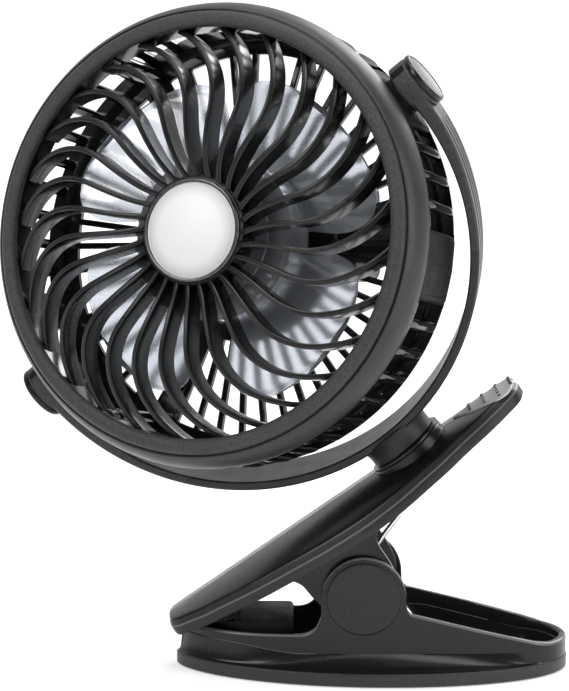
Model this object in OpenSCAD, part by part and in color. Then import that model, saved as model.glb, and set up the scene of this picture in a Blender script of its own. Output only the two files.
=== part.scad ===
// Clip-on camping fan: a round fan head in a yoke that swivels on a sprung clip.
// World frame: +X towards the grips, -X towards the jaws, -Y is the fan's front side, +Z up.
// The origin is on the floor, under the clip's middle.

/* [Head] */
// Outer diameter of the head's band
head_d = 145; // [143:0.5:146]
// Diameter of the front rim at the seam beside the band
rim_d = 137; // [134:0.5:139]
// Diameter of the air opening inside the front rim
mouth_d = 127; // [122:0.5:129]
// Distance from the tilt axis forward to the rim plane
rim_reach = 22.6; // [21:0.2:24]
// Depth of the band behind the rim plane
band_depth = 9.5; // [8:0.5:11]
// Depth of the head from the rim plane to the back face of its cage
head_depth = 39.5; // [38:0.5:42]
// Wall thickness of the head's mouldings
head_wall = 2.2; // [1.8:0.1:2.4]

/* [Front grille] */
// Number of curved ribs
rib_count = 28; // [20:1:32]
// Thickness of one rib
rib_t = 1.7; // [1.2:0.1:2]
// Depth of one rib from its front edge to its back edge
rib_depth = 9; // [6:0.5:10]
// Height of the ribs' crown in front of the rim plane
crown_h = 9; // [6:0.5:11]
// Radius at which the ribs' crown stands highest
crown_r = 36; // [34:0.5:38]
// Radius of the ribs' crown curve in the head's section
crown_curve = 40; // [38:0.5:44]
// Diameter of the bezel round the centre badge
badge_d = 32.4; // [28:0.2:34]

/* [Impeller] */
// Number of blades
blade_count = 4; // [3:1:4]
// Diameter over the blade tips
impeller_d = 104; // [96:1:108]
// Diameter of the hub cup
hub_d = 53; // [50:0.5:56]
// Distance from the rim plane back to the hub's front face
hub_setback = 10; // [9.5:0.1:11]
// Length of the hub cup along the shaft
hub_len = 15; // [13:0.5:15]
// Thickness of one blade
blade_t = 1.5; // [1.2:0.1:2]

/* [Rear cage] */
// Number of cage bars round the head
bar_count = 48; // [36:2:54]
// Width of one bar on the cage's side
side_bar_w = 3.2; // [2.4:0.1:4]
// Width of one bar on the cage's back
back_bar_w = 2; // [1.6:0.1:2.2]
// Thickness of the cage's back face
back_t = 2.4; // [2:0.1:2.8]
// Radius of the closed disc in the middle of the back
back_disc_r = 31; // [28:0.5:36]

/* [Motor] */
// Diameter of the motor can
motor_d = 24; // [22:0.2:24.4]
// Length of the motor can
motor_len = 23.5; // [20:0.5:24]
// Diameter of the motor shaft
shaft_d = 2; // [1.5:0.1:2.3]

/* [Battery pod] */
// Diameter of the battery cell
cell_d = 18.5; // [16:0.5:19]
// Length of the battery cell
cell_len = 65; // [60:0.5:66]
// Wall thickness of the pod
pod_wall = 1.8; // [1.5:0.1:2]
// Angle of the pod on the head's back
pod_angle = -35; // [-38:0.5:-32]
// Width of the control bay beside the cell
bay_w = 7.6; // [7.2:0.1:9]
// Thickness of the door and of the control cover
door_t = 1.6; // [1.4:0.1:2]
// Travel of the battery door
door_travel = 8; // [6:0.5:9]
// Diameter of the power button
button_d = 5.8; // [5:0.1:6]
// Travel of the power button
button_travel = 0.8; // [0.5:0.1:0.9]

/* [Yoke] */
// Inner radius of the yoke's ring
yoke_r = 74.7; // [74:0.1:76]
// Offset of the yoke's ring from the tilt axis towards the stem
yoke_drop = 3.1; // [2.6:0.1:4]
// Thickness of the yoke's ring
yoke_t = 2.9; // [2.6:0.1:3.4]
// Width of the yoke's ring
yoke_w = 20.6; // [18:0.2:22]
// Diameter of the yoke's end bosses
knob_d = 17.5; // [16:0.5:19]
// Length of one end boss, without its cap
boss_len = 6; // [5.5:0.1:6.5]
// Thickness of one knob cap
cap_t = 2; // [1.5:0.1:2.5]
// Diameter of the pivot screws
pivot_d = 3; // [2.5:0.1:3.2]
// Thickness of the friction washer on each pivot
washer_t = 1; // [0.8:0.1:1.1]

/* [Stem] */
// Lean of the stem axis from the vertical
stem_lean = 40.5; // [38:0.5:43]
// Distance from the tilt axis down to the top of the collar ring
stem_reach = 86; // [85:0.1:88]
// Diameter of the stem at the collar ring
stem_d = 22.8; // [21:0.1:24]
// Diameter of the collar on the upper arm
collar_d = 26; // [25:0.2:28]
// Thickness of the collar ring
collar_ring_t = 1; // [0.8:0.1:1.2]
// Diameter of the swivel screw
swivel_d = 4; // [3:0.1:4.5]

/* [Clip] */
// Length of the base flange
base_len = 126.1; // [120:0.5:132]
// Half width of the base flange
base_half_w = 28.8; // [27:0.2:31]
// Thickness of the base flange
flange_t = 3.3; // [2.8:0.1:3.8]
// Half width of the tub that stands on the flange
tub_half_w = 18.5; // [18:0.1:19]
// Wall thickness of the tub
tub_wall = 2.2; // [2:0.1:2.4]
// Height of the tub's rim at the jaws
jaw_rim_h = 14.2; // [13.4:0.1:14.6]
// Height of the tub's rim at the grip end
grip_rim_h = 10; // [9:0.1:11]
// Length of the upper arm
arm_len = 135.3; // [128:0.1:140]
// Half width of the upper arm
arm_half_w = 24.7; // [24:0.1:27]
// Slope of the upper arm with the jaws closed
arm_slope = 34.8; // [34:0.1:35.4]
// Height of the arm's crown over the hinge axis, square to the arm
arm_crown = 28; // [27.4:0.1:28.6]
// Radius of the crown's cross-section
crown_section_r = 56; // [52:0.5:60]
// Depth of the arm's skirt
skirt_depth = 5.6; // [5:0.1:6.4]
// Wall thickness of the arm
arm_wall = 2; // [1.8:0.1:2.2]

/* [Hinge] */
// Distance of the hinge axis from the middle of the clip, towards the jaws
hinge_x = -3.1; // [-4:0.1:-2]
// Height of the hinge axis
hinge_z = 25.9; // [25.4:0.1:26.4]
// Radius of the tub's round ears
ear_r = 13.4; // [13:0.1:14]
// Thickness of the arm's ear plates
ear_t = 2.6; // [2.2:0.1:3]
// Diameter of the hinge pin
pin_d = 4; // [3:0.1:4.4]
// Diameter of the round hinge covers
cover_d = 23.2; // [22:0.1:23.8]
// Diameter of the spring wire
wire_d = 1.7; // [1.4:0.1:1.9]
// Mean radius of the spring coil
coil_r = 5.5; // [5.2:0.1:6]
// Number of turns of the spring
coil_turns = 8; // [6:1:9]

/* [Pose] */
// Swivel of the yoke about the stem
swivel_angle = -10.3; // [-30:0.1:30]
// Tilt of the head in the yoke
tilt_angle = 25.3; // [0:0.1:40]

/* [Fits] */
// Radial clearance of a running fit
run_fit = 0.06; // [0.03:0.01:0.09]
// Clearance between parts that are assembled by hand
slip = 0.3; // [0.2:0.05:0.4]

/* [Hidden] */
$fn = 96;
eps = 0.02;
over = 1;          // how far a cutter runs past the face that it cuts

// Head, in its own frame: +Z is the front, X is the tilt axis, the origin is on the tilt axis.
head_r = head_d / 2;
rim_r = rim_d / 2;
mouth_r = mouth_d / 2;
badge_r = badge_d / 2;
z_rim = rim_reach;
z_step = rim_reach - band_depth;
z_back = rim_reach - head_depth;
z_plate = z_back + back_t;
lip_h = 1.8;
groove_w = 0.5;
groove_depth = 0.9;
cage_inset = 1.2;
cage_r = head_r - cage_inset;
tongue_t = 2;
tongue_len = 3.3;
tongue_fit = 0.2;
tongue_r = head_r - head_wall - tongue_fit;
z_channel = z_rim - head_wall;
corner_w = 8.5;                       // radial width of the ring between back and side slots
corner_h = 4.2;
shoulder_h = 3.2;
post_r = 3.3;
post_at = mouth_r + 1.4;              // radius at which the three grille screws stand
post_angles = [85, 205, 318];
back_panel = 325;                     // middle of the closed part of the back, beside the third post
side_panel = 315;                     // middle of the closed part of the side
boss_r = 2.8;
screw_r = 1.15;
screw_head_r = 2.1;
screw_head_h = 1.4;
z_screw = 2.4;
z_post = z_step + 2;                   // where the housing's posts end in the grille's rim
rib_stations = 14;
rib_phase = -3.5;
root_sweep = 7.1;
root_fade = 4;
tip_sweep = 19;
cup_r = badge_r + 0.9;
badge_seat = 2.4;                     // height of the badge's seat over the rim plane
bezel_w = 0.8;
bezel_h = 2.7;
badge_edge_h = 2;
badge_dome_h = 2.4;

// Impeller and motor
z_hub = z_rim - hub_setback;
hub_r = hub_d / 2;
hub_wall = 1.6;
tip_r = impeller_d / 2;
blade_mid_z = z_hub - 8.1;
blade_rise = 12;
blade_stations = 7;
chord_points = 6;
blade_turn = 5;
motor_r = motor_d / 2;
shaft_r = shaft_d / 2;
z_motor = z_plate + motor_len;
shoulder_z = z_plate + 9.5;           // the motor's shoulder, under the bracket
bracket_t = 1.6;
bracket_screw_at = motor_r + 4;
bracket_screw_r = 1.1;
shaft_top = z_hub - 0.6;
shaft_root = z_motor - 6;

// Battery pod, in a frame turned about the head's axis: x along the cell, z as the head's
cell_r = cell_d / 2;
cell_gap = 0.3;
contact_room = 2.2;
cell_bay_x = cell_len / 2 + contact_room;
pod_x = cell_bay_x + pod_wall;
cell_bay_y = cell_r + cell_gap;
pod_y0 = -(cell_bay_y + pod_wall);
partition = 1.4;
bay_y0 = cell_bay_y + partition;
bay_y1 = bay_y0 + bay_w;
bay_mid = (bay_y0 + bay_y1) / 2;
pod_y1 = bay_y1 + pod_wall;
bay_x = 29;
z_lid = z_back - cell_d - 2 * cell_gap;
z_pod = z_lid - door_t;
pod_corner = 3;
seam_y = cell_bay_y + partition / 2;   // line where the door meets the control cover
seam_gap = 0.2;
board_t = 1.2;
z_board = z_lid + 6.1;                 // the board's front face, on its ledges
ledge_w = 1.4;
ledge_depth = 6;
hook_t = 0.7;
hook_reach = 0.5;
hook_len = 4;
hook_drop = 1.6;
hook_xs = [-10, 16];
button_x = -10;
lens_x = -1;
lens_r = 1.5;
usb_x = 13.8;
usb_w = 7.6;
usb_t = 2.8;
usb_len = 5.6;
cover_screw_x = 32.5;
cover_screw_r = 0.9;
button_r = button_d / 2;
button_flange = 0.7;
switch_h = 2.1;

// Yoke, in a frame on the tilt axis: X is the tilt axis, +Z points away from the clip
pivot_r = pivot_d / 2;
pad_face = head_r + 0.1;               // outer face of the head's pivot pads
boss_face = pad_face + washer_t;
cap_face = boss_face + boss_len;
knob_r = knob_d / 2;
pad_r = 6.5;
screw_seat = boss_face + 3;
pivot_head_r = 3;
pivot_head_h = 1.8;
pivot_grip = 6.5;                      // length of screw inside the head's pad
ring_end = asin(yoke_drop / (yoke_r + yoke_t));
yoke_rib_w = 4.6;
yoke_groove_w = 1.5;
yoke_groove_depth = 0.6;
yoke_bottom = yoke_r + yoke_drop;
stem_r = stem_d / 2;
stem_flare = 0.9;
ring_r = stem_r + 1.5;
z_ring = -stem_reach;
z_collar = z_ring - collar_ring_t;
collar_len = 6;
swivel_r = swivel_d / 2;
swivel_seat = z_collar - collar_len;
swivel_washer_t = 1;
swivel_head_h = 2.5;

// Clip
base_back = 5;                          // where the flange is widest
base_x0 = -base_len / 2;
base_x1 = base_len / 2;
floor_t = 2.6;
tub_inset = 2;
tub_in = tub_half_w - tub_wall;
step_inset = 4;
step_h = 1.4;
pad_top0 = jaw_rim_h + 0.6;             // the jaw line's height at its two ends
pad_top1 = jaw_rim_h + 2.8;
pad_x0 = -0.444 * base_len;
pad_x1 = -0.198 * base_len;
jaw_x1 = -0.335 * base_len;              // where the jaws part
pad_t = 3;
upper_pad_w = 21;
lower_pad_w = 26;
clip_over = 60;                         // a height that clears the whole clip, for cuts and blanks
jaw_gap = 0.3;
ear_out = tub_in - slip;
ear_in = ear_out - ear_t;
arm_tip = -0.425 * arm_len;
pin_r = pin_d / 2;
cover_r = cover_d / 2;
cover_depth = 1.2;
cover_proud = 0.5;
pin_half = tub_half_w - cover_depth;
sleeve_r = coil_r - wire_d / 2 - 0.5;
sleeve_end = 8;
arm_cut_z = jaw_rim_h + 1;
stem_u = 37.3;                          // where the stem axis crosses the crown, along the arm
stem_top = arm_crown + 1.9;
dir_u = [cos(arm_slope), 0, sin(arm_slope)];
dir_n = [-sin(arm_slope), 0, cos(arm_slope)];
dir_s = [-sin(stem_lean), 0, cos(stem_lean)];
hinge = [hinge_x, 0, hinge_z];
collar_at = hinge + stem_u * dir_u + stem_top * dir_n;
pivot_at = collar_at + (stem_reach + collar_ring_t / 2) * dir_s;
leg_rise = 18.9;                        // angle between the spring's upper leg and the arm
leg_up_angle = arm_slope + leg_rise;
leg_down_angle = -53;
leg_down_start = leg_down_angle + 90;
leg_up = 33;
leg_down = (hinge_z + coil_r * sin(leg_down_start) - floor_t - 0.6) / -sin(leg_down_angle);
coil_half = (coil_turns + 0.4) * (wire_d + 0.15) / 2;
leg_end = coil_r * [cos(leg_rise + 90), sin(leg_rise + 90)] + leg_up * [cos(leg_rise), sin(leg_rise)];
grip_t = 0.9;
grip_u0 = 54.5;                         // start of the grip pad, along the arm
grip_len = 23;
grip_half_w = 10.4;

// Half width of the arm along its length: [share of the length, share of the half width]
ARM_PLAN = [[0, 0], [0.004, 0.3], [0.018, 0.43], [0.038, 0.5], [0.066, 0.57], [0.092, 0.63],
    [0.12, 0.67], [0.17, 0.74], [0.23, 0.82], [0.31, 0.89], [0.36, 0.93], [0.42, 0.97], [0.47, 0.99],
    [0.53, 1], [0.58, 0.985], [0.64, 0.945], [0.7, 0.875], [0.76, 0.8], [0.82, 0.69], [0.88, 0.59],
    [0.915, 0.515], [0.946, 0.43], [0.977, 0.32], [0.991, 0.21], [1, 0]];

// ---- frames ----
module on_stem() translate(pivot_at) rotate([0, -stem_lean, 0]) children();
module on_yoke() on_stem() rotate([0, 0, swivel_angle]) children();
module on_head() on_yoke() rotate([90 - tilt_angle, 0, 0]) children();
module on_pod() on_head() rotate([0, 0, pod_angle]) children();
module on_arm() translate(hinge) rotate([0, -arm_slope, 0]) children();
module from_world() rotate([0, arm_slope, 0]) translate(-hinge) children();
module both_sides() for (s = [0, 180]) rotate([0, 0, s]) children();

// ---- helpers ----
// Value of a curve through the points of a table, with smooth slopes
function slot(table, x, i = 0) = i >= len(table) - 2 || x < table[i + 1][0] ? i : slot(table, x, i + 1);
function slope(table, i) =
    let (a = max(i - 1, 0), b = min(i + 1, len(table) - 1))
    (table[b][1] - table[a][1]) / (table[b][0] - table[a][0]);
function curve(table, x) =
    let (i = slot(table, x), p = table[i], q = table[i + 1], h = q[0] - p[0], t = (x - p[0]) / h)
    (2 * t^3 - 3 * t^2 + 1) * p[1] + (t^3 - 2 * t^2 + t) * h * slope(table, i)
    + (3 * t^2 - 2 * t^3) * q[1] + (t^3 - t^2) * h * slope(table, i + 1);

// Points of an elliptical arc
function arc(centre, rx, ry, from, to, steps) =
    [for (i = [0:steps]) let (a = from + (to - from) * i / steps) centre + [rx * cos(a), ry * sin(a)]];

// A skin over rings of points, all with as many points, closed at both ends
module skin(rings) {
    n = len(rings[0]);
    last = (len(rings) - 1) * n;
    half = floor(n / 2) - 1;
    sides = [for (k = [0:len(rings) - 2]) for (i = [0:n - 1])
        let (a = k * n + i, b = k * n + (i + 1) % n) each [[a, b, b + n], [a, b + n, a + n]]];
    near_end = [for (i = [0:half - 1]) each [[i, n - 1 - i, n - 2 - i], [i, n - 2 - i, i + 1]]];
    far_end = [for (i = [0:half - 1]) each
        [[last + i, last + n - 2 - i, last + n - 1 - i], [last + i, last + i + 1, last + n - 2 - i]]];
    polyhedron([for (ring = rings) each ring], concat(sides, near_end, far_end), convexity = 6);
}

module tube(r_out, r_in, z0, z1)
    translate([0, 0, z0]) difference() {
        cylinder(r = r_out, h = z1 - z0);
        translate([0, 0, -over]) cylinder(r = r_in, h = z1 - z0 + 2 * over);
    }

module rod(r, z0, z1) translate([0, 0, z0]) cylinder(r = r, h = z1 - z0);

module box(x0, x1, y0, y1, z0, z1) translate([x0, y0, z0]) cube([x1 - x0, y1 - y0, z1 - z0]);

// ---- front grille ----
function rib_front(r) = z_rim + crown_h - crown_curve + sqrt(crown_curve^2 - (r - crown_r)^2);
function rib_turn(r) = rib_phase + root_sweep * (1 - exp((badge_r - r) / root_fade))
    + tip_sweep * pow(max(0, (r - crown_r) / (mouth_r - crown_r)), 2);
function rib_point(r) = r * [cos(rib_turn(r)), sin(rib_turn(r))];
function rib_ring(r) =
    let (d = rib_point(r + eps) - rib_point(r - eps), side = rib_t / 2 * [-d[1], d[0]] / norm(d),
        p = rib_point(r), z = rib_front(r))
    [[each p - side, z], [each p + side, z], [each p + side, z - rib_depth], [each p - side, z - rib_depth]];

module rib() {
    r0 = badge_r + 0.5;
    r1 = mouth_r + head_wall / 2;
    skin([for (i = [0:rib_stations]) rib_ring(r0 + (r1 - r0) * pow(i / rib_stations, 1.25))]);
}

module grille_rim()
    rotate_extrude() polygon(concat(
        [[mouth_r, z_step], [mouth_r, z_rim]],
        arc([(mouth_r + rim_r) / 2, z_rim], (rim_r - mouth_r) / 2, lip_h, 165, 15, 8),
        [[rim_r, z_rim - groove_depth], [rim_r + groove_w, z_rim - groove_depth]],
        arc([rim_r + groove_w, z_rim - 7.5], head_r - rim_r - groove_w, 7.4, 90, 0, 8),
        [[head_r, z_step], [head_r - head_wall, z_step], [head_r - head_wall, z_rim - 6],
            [rim_r, z_channel], [mouth_r + head_wall, z_channel], [mouth_r + head_wall, z_step]]));

module grille_cup()
    rotate_extrude() polygon([[0, z_rim + 0.6], [badge_r - 1.4, z_rim + 0.6],
        [badge_r - 1.4, z_rim - rib_depth + 3.6], [cup_r, z_rim - rib_depth + 3.6],
        [cup_r, z_rim + 3.6], [cup_r - 0.4, z_rim + 4], [badge_r, z_rim + 4],
        [badge_r, z_rim + badge_seat], [0, z_rim + badge_seat]]);

module front_grille() color("#2b2b2c") on_head() difference() {
    union() {
        grille_rim();
        grille_cup();
        for (i = [0:rib_count - 1]) rotate([0, 0, i * 360 / rib_count]) rib();
        for (a = post_angles) rotate([0, 0, a]) translate([post_at, 0, 0])
            rod(boss_r, z_post - 0.5, z_channel + 0.5);
    }
    for (a = post_angles) rotate([0, 0, a]) translate([post_at, 0, 0]) {
        rod(screw_r + run_fit, z_step, z_rim - 3.4);
        rod(post_r + slip, z_step - 3, z_post);
    }
}

module badge_ring() color("#8d9094") on_head()
    tube(badge_r - run_fit, badge_r - bezel_w, z_rim + badge_seat, z_rim + badge_seat + bezel_h);

module badge_cap() color("#f4f5f6") on_head() {
    cap_r = badge_r - bezel_w - 0.05;
    ball_r = (cap_r^2 + badge_dome_h^2) / (2 * badge_dome_h);
    top = z_rim + badge_seat + badge_edge_h;
    rod(cap_r, z_rim + badge_seat, top);
    intersection() {
        rod(cap_r, top - eps, top + badge_dome_h + over);
        translate([0, 0, top + badge_dome_h - ball_r]) sphere(r = ball_r);
    }
}

// ---- impeller and motor ----
// Half angles of a blade at a share of its length, before and after its centre line
BLADE_REACH = [[0, 37], [0.45, 40], [0.8, 37], [0.93, 32], [1, 24]];
function blade_point(r, half, c, side) =
    let (a = blade_turn + half * (2 * c - 1), t = blade_t * (0.35 + 0.65 * sin(180 * c)) / 2)
    [r * cos(a), r * sin(a), blade_mid_z + blade_rise * (c - 0.5) * (1.15 - 0.4 * r / tip_r) + side * t];
function blade_ring(share) =
    let (r = hub_r - 1 + (tip_r - hub_r + 1) * share, half = curve(BLADE_REACH, share))
    concat([for (i = [0:chord_points]) blade_point(r, half, i / chord_points, 1)],
        [for (i = [chord_points:-1:0]) blade_point(r, half, i / chord_points, -1)]);

module impeller() color([0.82, 0.85, 0.9, 0.6]) on_head() {
    rotate_extrude() polygon([[shaft_r + eps, z_hub - 3], [shaft_r + eps, z_hub - 0.4],
        [0, z_hub - 0.4], [0, z_hub], [hub_r - 1, z_hub], [hub_r, z_hub - 1], [hub_r, z_hub - hub_len], [hub_r - hub_wall, z_hub - hub_len],
        [hub_r - hub_wall, z_hub - hub_wall], [3.6, z_hub - hub_wall], [3.6, z_hub - 3]]);
    for (k = [0:blade_count - 1]) rotate([0, 0, k * 360 / blade_count])
        skin([for (i = [0:blade_stations]) blade_ring(sin(90 * i / blade_stations))]);
}

module motor_shaft() color("#c9ccd0") on_head() rod(shaft_r, shaft_root, shaft_top);

module motor_can() color("#b4b7ba") on_head() difference() {
    union() {
        rod(motor_r, z_plate, shoulder_z);
        rod(motor_r - 0.7, shoulder_z - eps, z_motor);
    }
    rod(shaft_r + run_fit, shaft_root - 0.5, z_motor + over);
}

module motor_bracket() color("#9b9ea2") on_head() difference() {
    union() {
        rod(motor_r + 1.4, shoulder_z, shoulder_z + bracket_t);
        box(-bracket_screw_at, bracket_screw_at, -2.8, 2.8, shoulder_z, shoulder_z + bracket_t);
        both_sides() translate([bracket_screw_at, 0, 0]) rod(2.8, shoulder_z, shoulder_z + bracket_t);
    }
    rod(motor_r - 0.5, shoulder_z - over, shoulder_z + bracket_t + over);
    both_sides() translate([bracket_screw_at, 0, 0])
        rod(bracket_screw_r, shoulder_z - over, shoulder_z + bracket_t + over);
}

module motor_screws() color("#a7a9ac") on_head() both_sides() translate([bracket_screw_at, 0, 0]) {
    rod(bracket_screw_r - eps, z_plate + 2, shoulder_z + bracket_t + eps);
    rod(2, shoulder_z + bracket_t, shoulder_z + bracket_t + 1.2);
}

// ---- rear housing ----
module cage_shell()
    rotate_extrude() polygon(concat(
        [[0, z_plate], [head_r - 8, z_plate], [head_r - 5.3, z_plate + 2.1], [head_r - 3.9, z_plate + 8],
            [head_r - 3.6, z_step - 6], [tongue_r - tongue_t, z_step],
            [tongue_r - tongue_t, z_step + tongue_len],
            [tongue_r, z_step + tongue_len], [tongue_r, z_step], [cage_r, z_step], [head_r - 0.9, z_step - 8],
            [head_r - 1.2, z_back + 9]],
        arc([head_r - 6.5, z_back + 4], 4.4, 4, 0, -90, 6),
        [[0, z_back]]));

function near(a, b) = abs((a - b + 540) % 360 - 180);

// Slots in the back stay closed in front of the three posts
function back_closed(a) =
    near(a, post_angles[0]) < 5 || near(a, post_angles[1]) < 5 || near(a, back_panel) < 12;
function side_closed(a) = near(a, 0) < 8 || near(a, 180) < 8 || near(a, side_panel) < 7;

module side_slots() {
    pitch = 360 / bar_count;
    w = head_r * tan(pitch / 2) - side_bar_w / 2;
    for (i = [0:bar_count - 1]) if (!side_closed((i + 0.5) * pitch)) rotate([0, 0, (i + 0.5) * pitch])
        box(head_r - 5.5, head_r + over, -w, w, z_back + corner_h, z_step - shoulder_h);
}

module back_slots() {
    pitch = 360 / bar_count;
    outer = head_r - 2.2 - corner_w;
    w0 = back_disc_r * tan(pitch / 2) - back_bar_w / 2;
    w1 = outer * tan(pitch / 2) - back_bar_w / 2;
    for (i = [0:bar_count - 1]) if (!back_closed((i + 0.5) * pitch)) rotate([0, 0, (i + 0.5) * pitch])
        translate([0, 0, z_back - over]) linear_extrude(back_t + 2 * over)
            polygon([[back_disc_r, -w0], [outer, -w1], [outer, w1], [back_disc_r, w0]]);
}

module pod_prism(z0, z1) {
    x = pod_x - pod_corner;
    translate([0, 0, z0]) linear_extrude(z1 - z0) polygon(concat(
        arc([x, pod_y1 - pod_corner], pod_corner, pod_corner, 0, 90, 6),
        arc([-x, pod_y1 - pod_corner], pod_corner, pod_corner, 90, 180, 6),
        arc([-x, pod_y0 + pod_corner], pod_corner, pod_corner, 180, 270, 6),
        arc([x, pod_y0 + pod_corner], pod_corner, pod_corner, 270, 360, 6)));
}

module pod_cuts() {
    box(-cell_bay_x, cell_bay_x, -cell_bay_y, cell_bay_y, z_lid - over, z_back);
    box(-bay_x, bay_x, bay_y0, bay_y1, z_lid - over, z_board);
    box(-bay_x, bay_x, bay_y0 + ledge_w, bay_y1 - ledge_w, z_board - eps, z_board + ledge_depth);
    box(usb_x - usb_w / 2 - slip, usb_x + usb_w / 2 + slip, bay_y1 - over, pod_y1 + over,
        z_board - board_t - usb_t - slip, z_board - board_t + slip);
    for (s = [-1, 1]) translate([s * cover_screw_x, bay_mid, 0]) rod(cover_screw_r, z_lid - over, z_lid + 6);
    // grooves for the door's hooks, and the notches that let them in
    for (s = [-1, 1]) scale([1, s, 1]) {
        box(-door_travel + hook_xs[0] - slip, hook_xs[1] + hook_len + slip, cell_bay_y - over,
            cell_bay_y + hook_reach + slip, z_lid + hook_drop - hook_t - slip, z_lid + hook_drop + slip);
        for (x = hook_xs) box(x - door_travel - slip, x - door_travel + hook_len + slip, cell_bay_y - over,
            cell_bay_y + hook_reach + slip, z_lid - over, z_lid + hook_drop);
    }
}

module rear_housing() color("#1c1c1d") on_head() difference() {
    union() {
        difference() {
            cage_shell();
            side_slots();
            back_slots();
        }
        for (a = post_angles) rotate([0, 0, a]) translate([post_at, 0, 0]) rod(post_r, z_back + 1, z_post);
        both_sides() rotate([0, 90, 0]) rod(pad_r, head_r - 6, pad_face);
        rod(motor_r + 2.4, z_plate - eps, shoulder_z);
        both_sides() translate([bracket_screw_at, 0, 0]) rod(2.8, z_plate - eps, shoulder_z);
        rotate([0, 0, pod_angle]) pod_prism(z_lid, z_plate - 0.4);
    }
    rod(motor_r + eps, z_plate, shoulder_z + over);
    both_sides() translate([bracket_screw_at, 0, 0]) rod(bracket_screw_r, z_plate + 1, shoulder_z + over);
    for (a = post_angles) rotate([0, 0, a]) translate([post_at, 0, 0]) {
        rod(screw_r + 0.15, z_back - over, z_post + over);
        rod(screw_head_r + 0.3, z_back - over, z_screw);
    }
    both_sides() rotate([0, 90, 0]) rod(pivot_r, pad_face - pivot_grip, pad_face + over);
    rotate([0, 0, pod_angle]) pod_cuts();
}

module grille_screws() color("#a7a9ac") on_head()
    for (a = post_angles) rotate([0, 0, a]) translate([post_at, 0, 0]) {
        rod(screw_r, z_screw - eps, z_rim - 3.8);
        rod(screw_head_r, z_screw - screw_head_h, z_screw);
    }

// ---- battery pod ----
module control_cover() color("#202021") on_pod() difference() {
    intersection() {
        pod_prism(z_pod, z_lid);
        box(-pod_x - over, pod_x + over, seam_y + seam_gap / 2, pod_y1 + over, z_pod - over, z_lid + over);
    }
    translate([button_x, bay_mid, 0]) rod(button_r + 0.15, z_pod - over, z_lid + over);
    translate([lens_x, bay_mid, 0]) rod(lens_r + 0.05, z_pod - over, z_lid + over);
    for (s = [-1, 1]) translate([s * cover_screw_x, bay_mid, 0]) {
        rod(cover_screw_r + 0.1, z_pod - over, z_lid + over);
        rod(screw_head_r, z_pod - over, z_pod + 0.8);
    }
}

module cover_screws() color("#a7a9ac") on_pod() for (s = [-1, 1]) translate([s * cover_screw_x, bay_mid, 0]) {
    rod(cover_screw_r, z_pod + 0.4, z_lid + 5);
    rod(screw_head_r - 0.2, z_pod - 0.2, z_pod + 0.8);
}

module battery_door() color("#242425") on_pod() {
    intersection() {
        pod_prism(z_pod, z_lid - eps);
        box(-pod_x - over, pod_x + over, pod_y0 - over, seam_y - seam_gap / 2, z_pod - over, z_lid + over);
    }
    for (x = [20:2.4:30]) box(x, x + 1, -5, 5, z_pod - 0.5, z_pod + eps);
    for (s = [-1, 1]) scale([1, s, 1]) for (x = hook_xs) {
        box(x, x + hook_len, cell_bay_y - 1.2, cell_bay_y - slip, z_lid - 2 * eps, z_lid + hook_drop);
        box(x, x + hook_len, cell_bay_y - 1.2, cell_bay_y + hook_reach,
            z_lid + hook_drop - hook_t, z_lid + hook_drop);
    }
}

module battery_cell() color("#3f6fb0") on_pod()
translate([0, 0, z_back - cell_gap - cell_r]) rotate([0, 90, 0]) {
    rod(cell_r, -cell_len / 2, cell_len / 2 - 1);
    rod(3, cell_len / 2 - 1 - eps, cell_len / 2);
}

module battery_contacts() color("#d3b56c") on_pod() translate([0, 0, z_back - cell_gap - cell_r])
    for (s = [-1, 1]) {
        box(min(s * cell_bay_x, s * (cell_bay_x - 0.6)), max(s * cell_bay_x, s * (cell_bay_x - 0.6)),
            -5, 5, -4.5, 4.5);
        scale([s, 1, 1]) rotate([0, 90, 0]) rod(2.6, cell_len / 2 + 0.05, cell_bay_x - 0.6 + eps);
    }

module circuit_board() color("#1f5b36") on_pod() {
    box(-26, 26, bay_y0 + 0.3, bay_y1 - 0.3, z_board - board_t, z_board);
    box(lens_x - 0.9, lens_x + 0.9, bay_mid - 0.9, bay_mid + 0.9,
        z_board - board_t - 1, z_board - board_t + eps);
    box(-22, -17, bay_mid - 2, bay_mid + 2, z_board - board_t - 1.2, z_board - board_t + eps);
    box(3, 7, bay_mid - 2.5, bay_mid + 2.5, z_board - board_t - 1.4, z_board - board_t + eps);
}

module button_switch() color("#303236") on_pod() {
    box(button_x - 3, button_x + 3, bay_mid - 2, bay_mid + 2,
        z_board - board_t - switch_h + 0.5, z_board - board_t);
    translate([button_x, bay_mid, 0])
        rod(1.1, z_board - board_t - switch_h, z_board - board_t - switch_h + 0.6);
}

module power_button() color("#3a3b3d") on_pod() translate([button_x, bay_mid, 0]) {
    stem_end = z_board - board_t - switch_h - button_travel - 0.1;
    rod(button_r, z_pod - button_travel - 0.2, z_lid + 0.2);
    rod(button_r + 0.65, z_lid + 0.1, z_lid + 0.1 + button_flange);
    rod(1.2, z_lid + 0.1, stem_end);
}

module usb_port() color("#c4c7ca") on_pod() difference() {
    box(usb_x - usb_w / 2, usb_x + usb_w / 2, pod_y1 - 0.3 - usb_len, pod_y1 - 0.3,
        z_board - board_t - usb_t, z_board - board_t);
    difference() {
        box(usb_x - usb_w / 2 + 0.4, usb_x + usb_w / 2 - 0.4, pod_y1 - usb_len + 0.6, pod_y1 + over,
            z_board - board_t - usb_t + 0.4, z_board - board_t - 0.4);
        box(usb_x - 2.2, usb_x + 2.2, pod_y1 - usb_len, pod_y1 - 1.2,
            z_board - board_t - usb_t + 1, z_board - board_t - usb_t + 1.6);
    }
}

module indicator_lens() color([0.6, 0.8, 1, 0.7]) on_pod() translate([lens_x, bay_mid, 0])
    rod(lens_r, z_pod - 0.2, z_board - board_t - 1.05);

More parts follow.
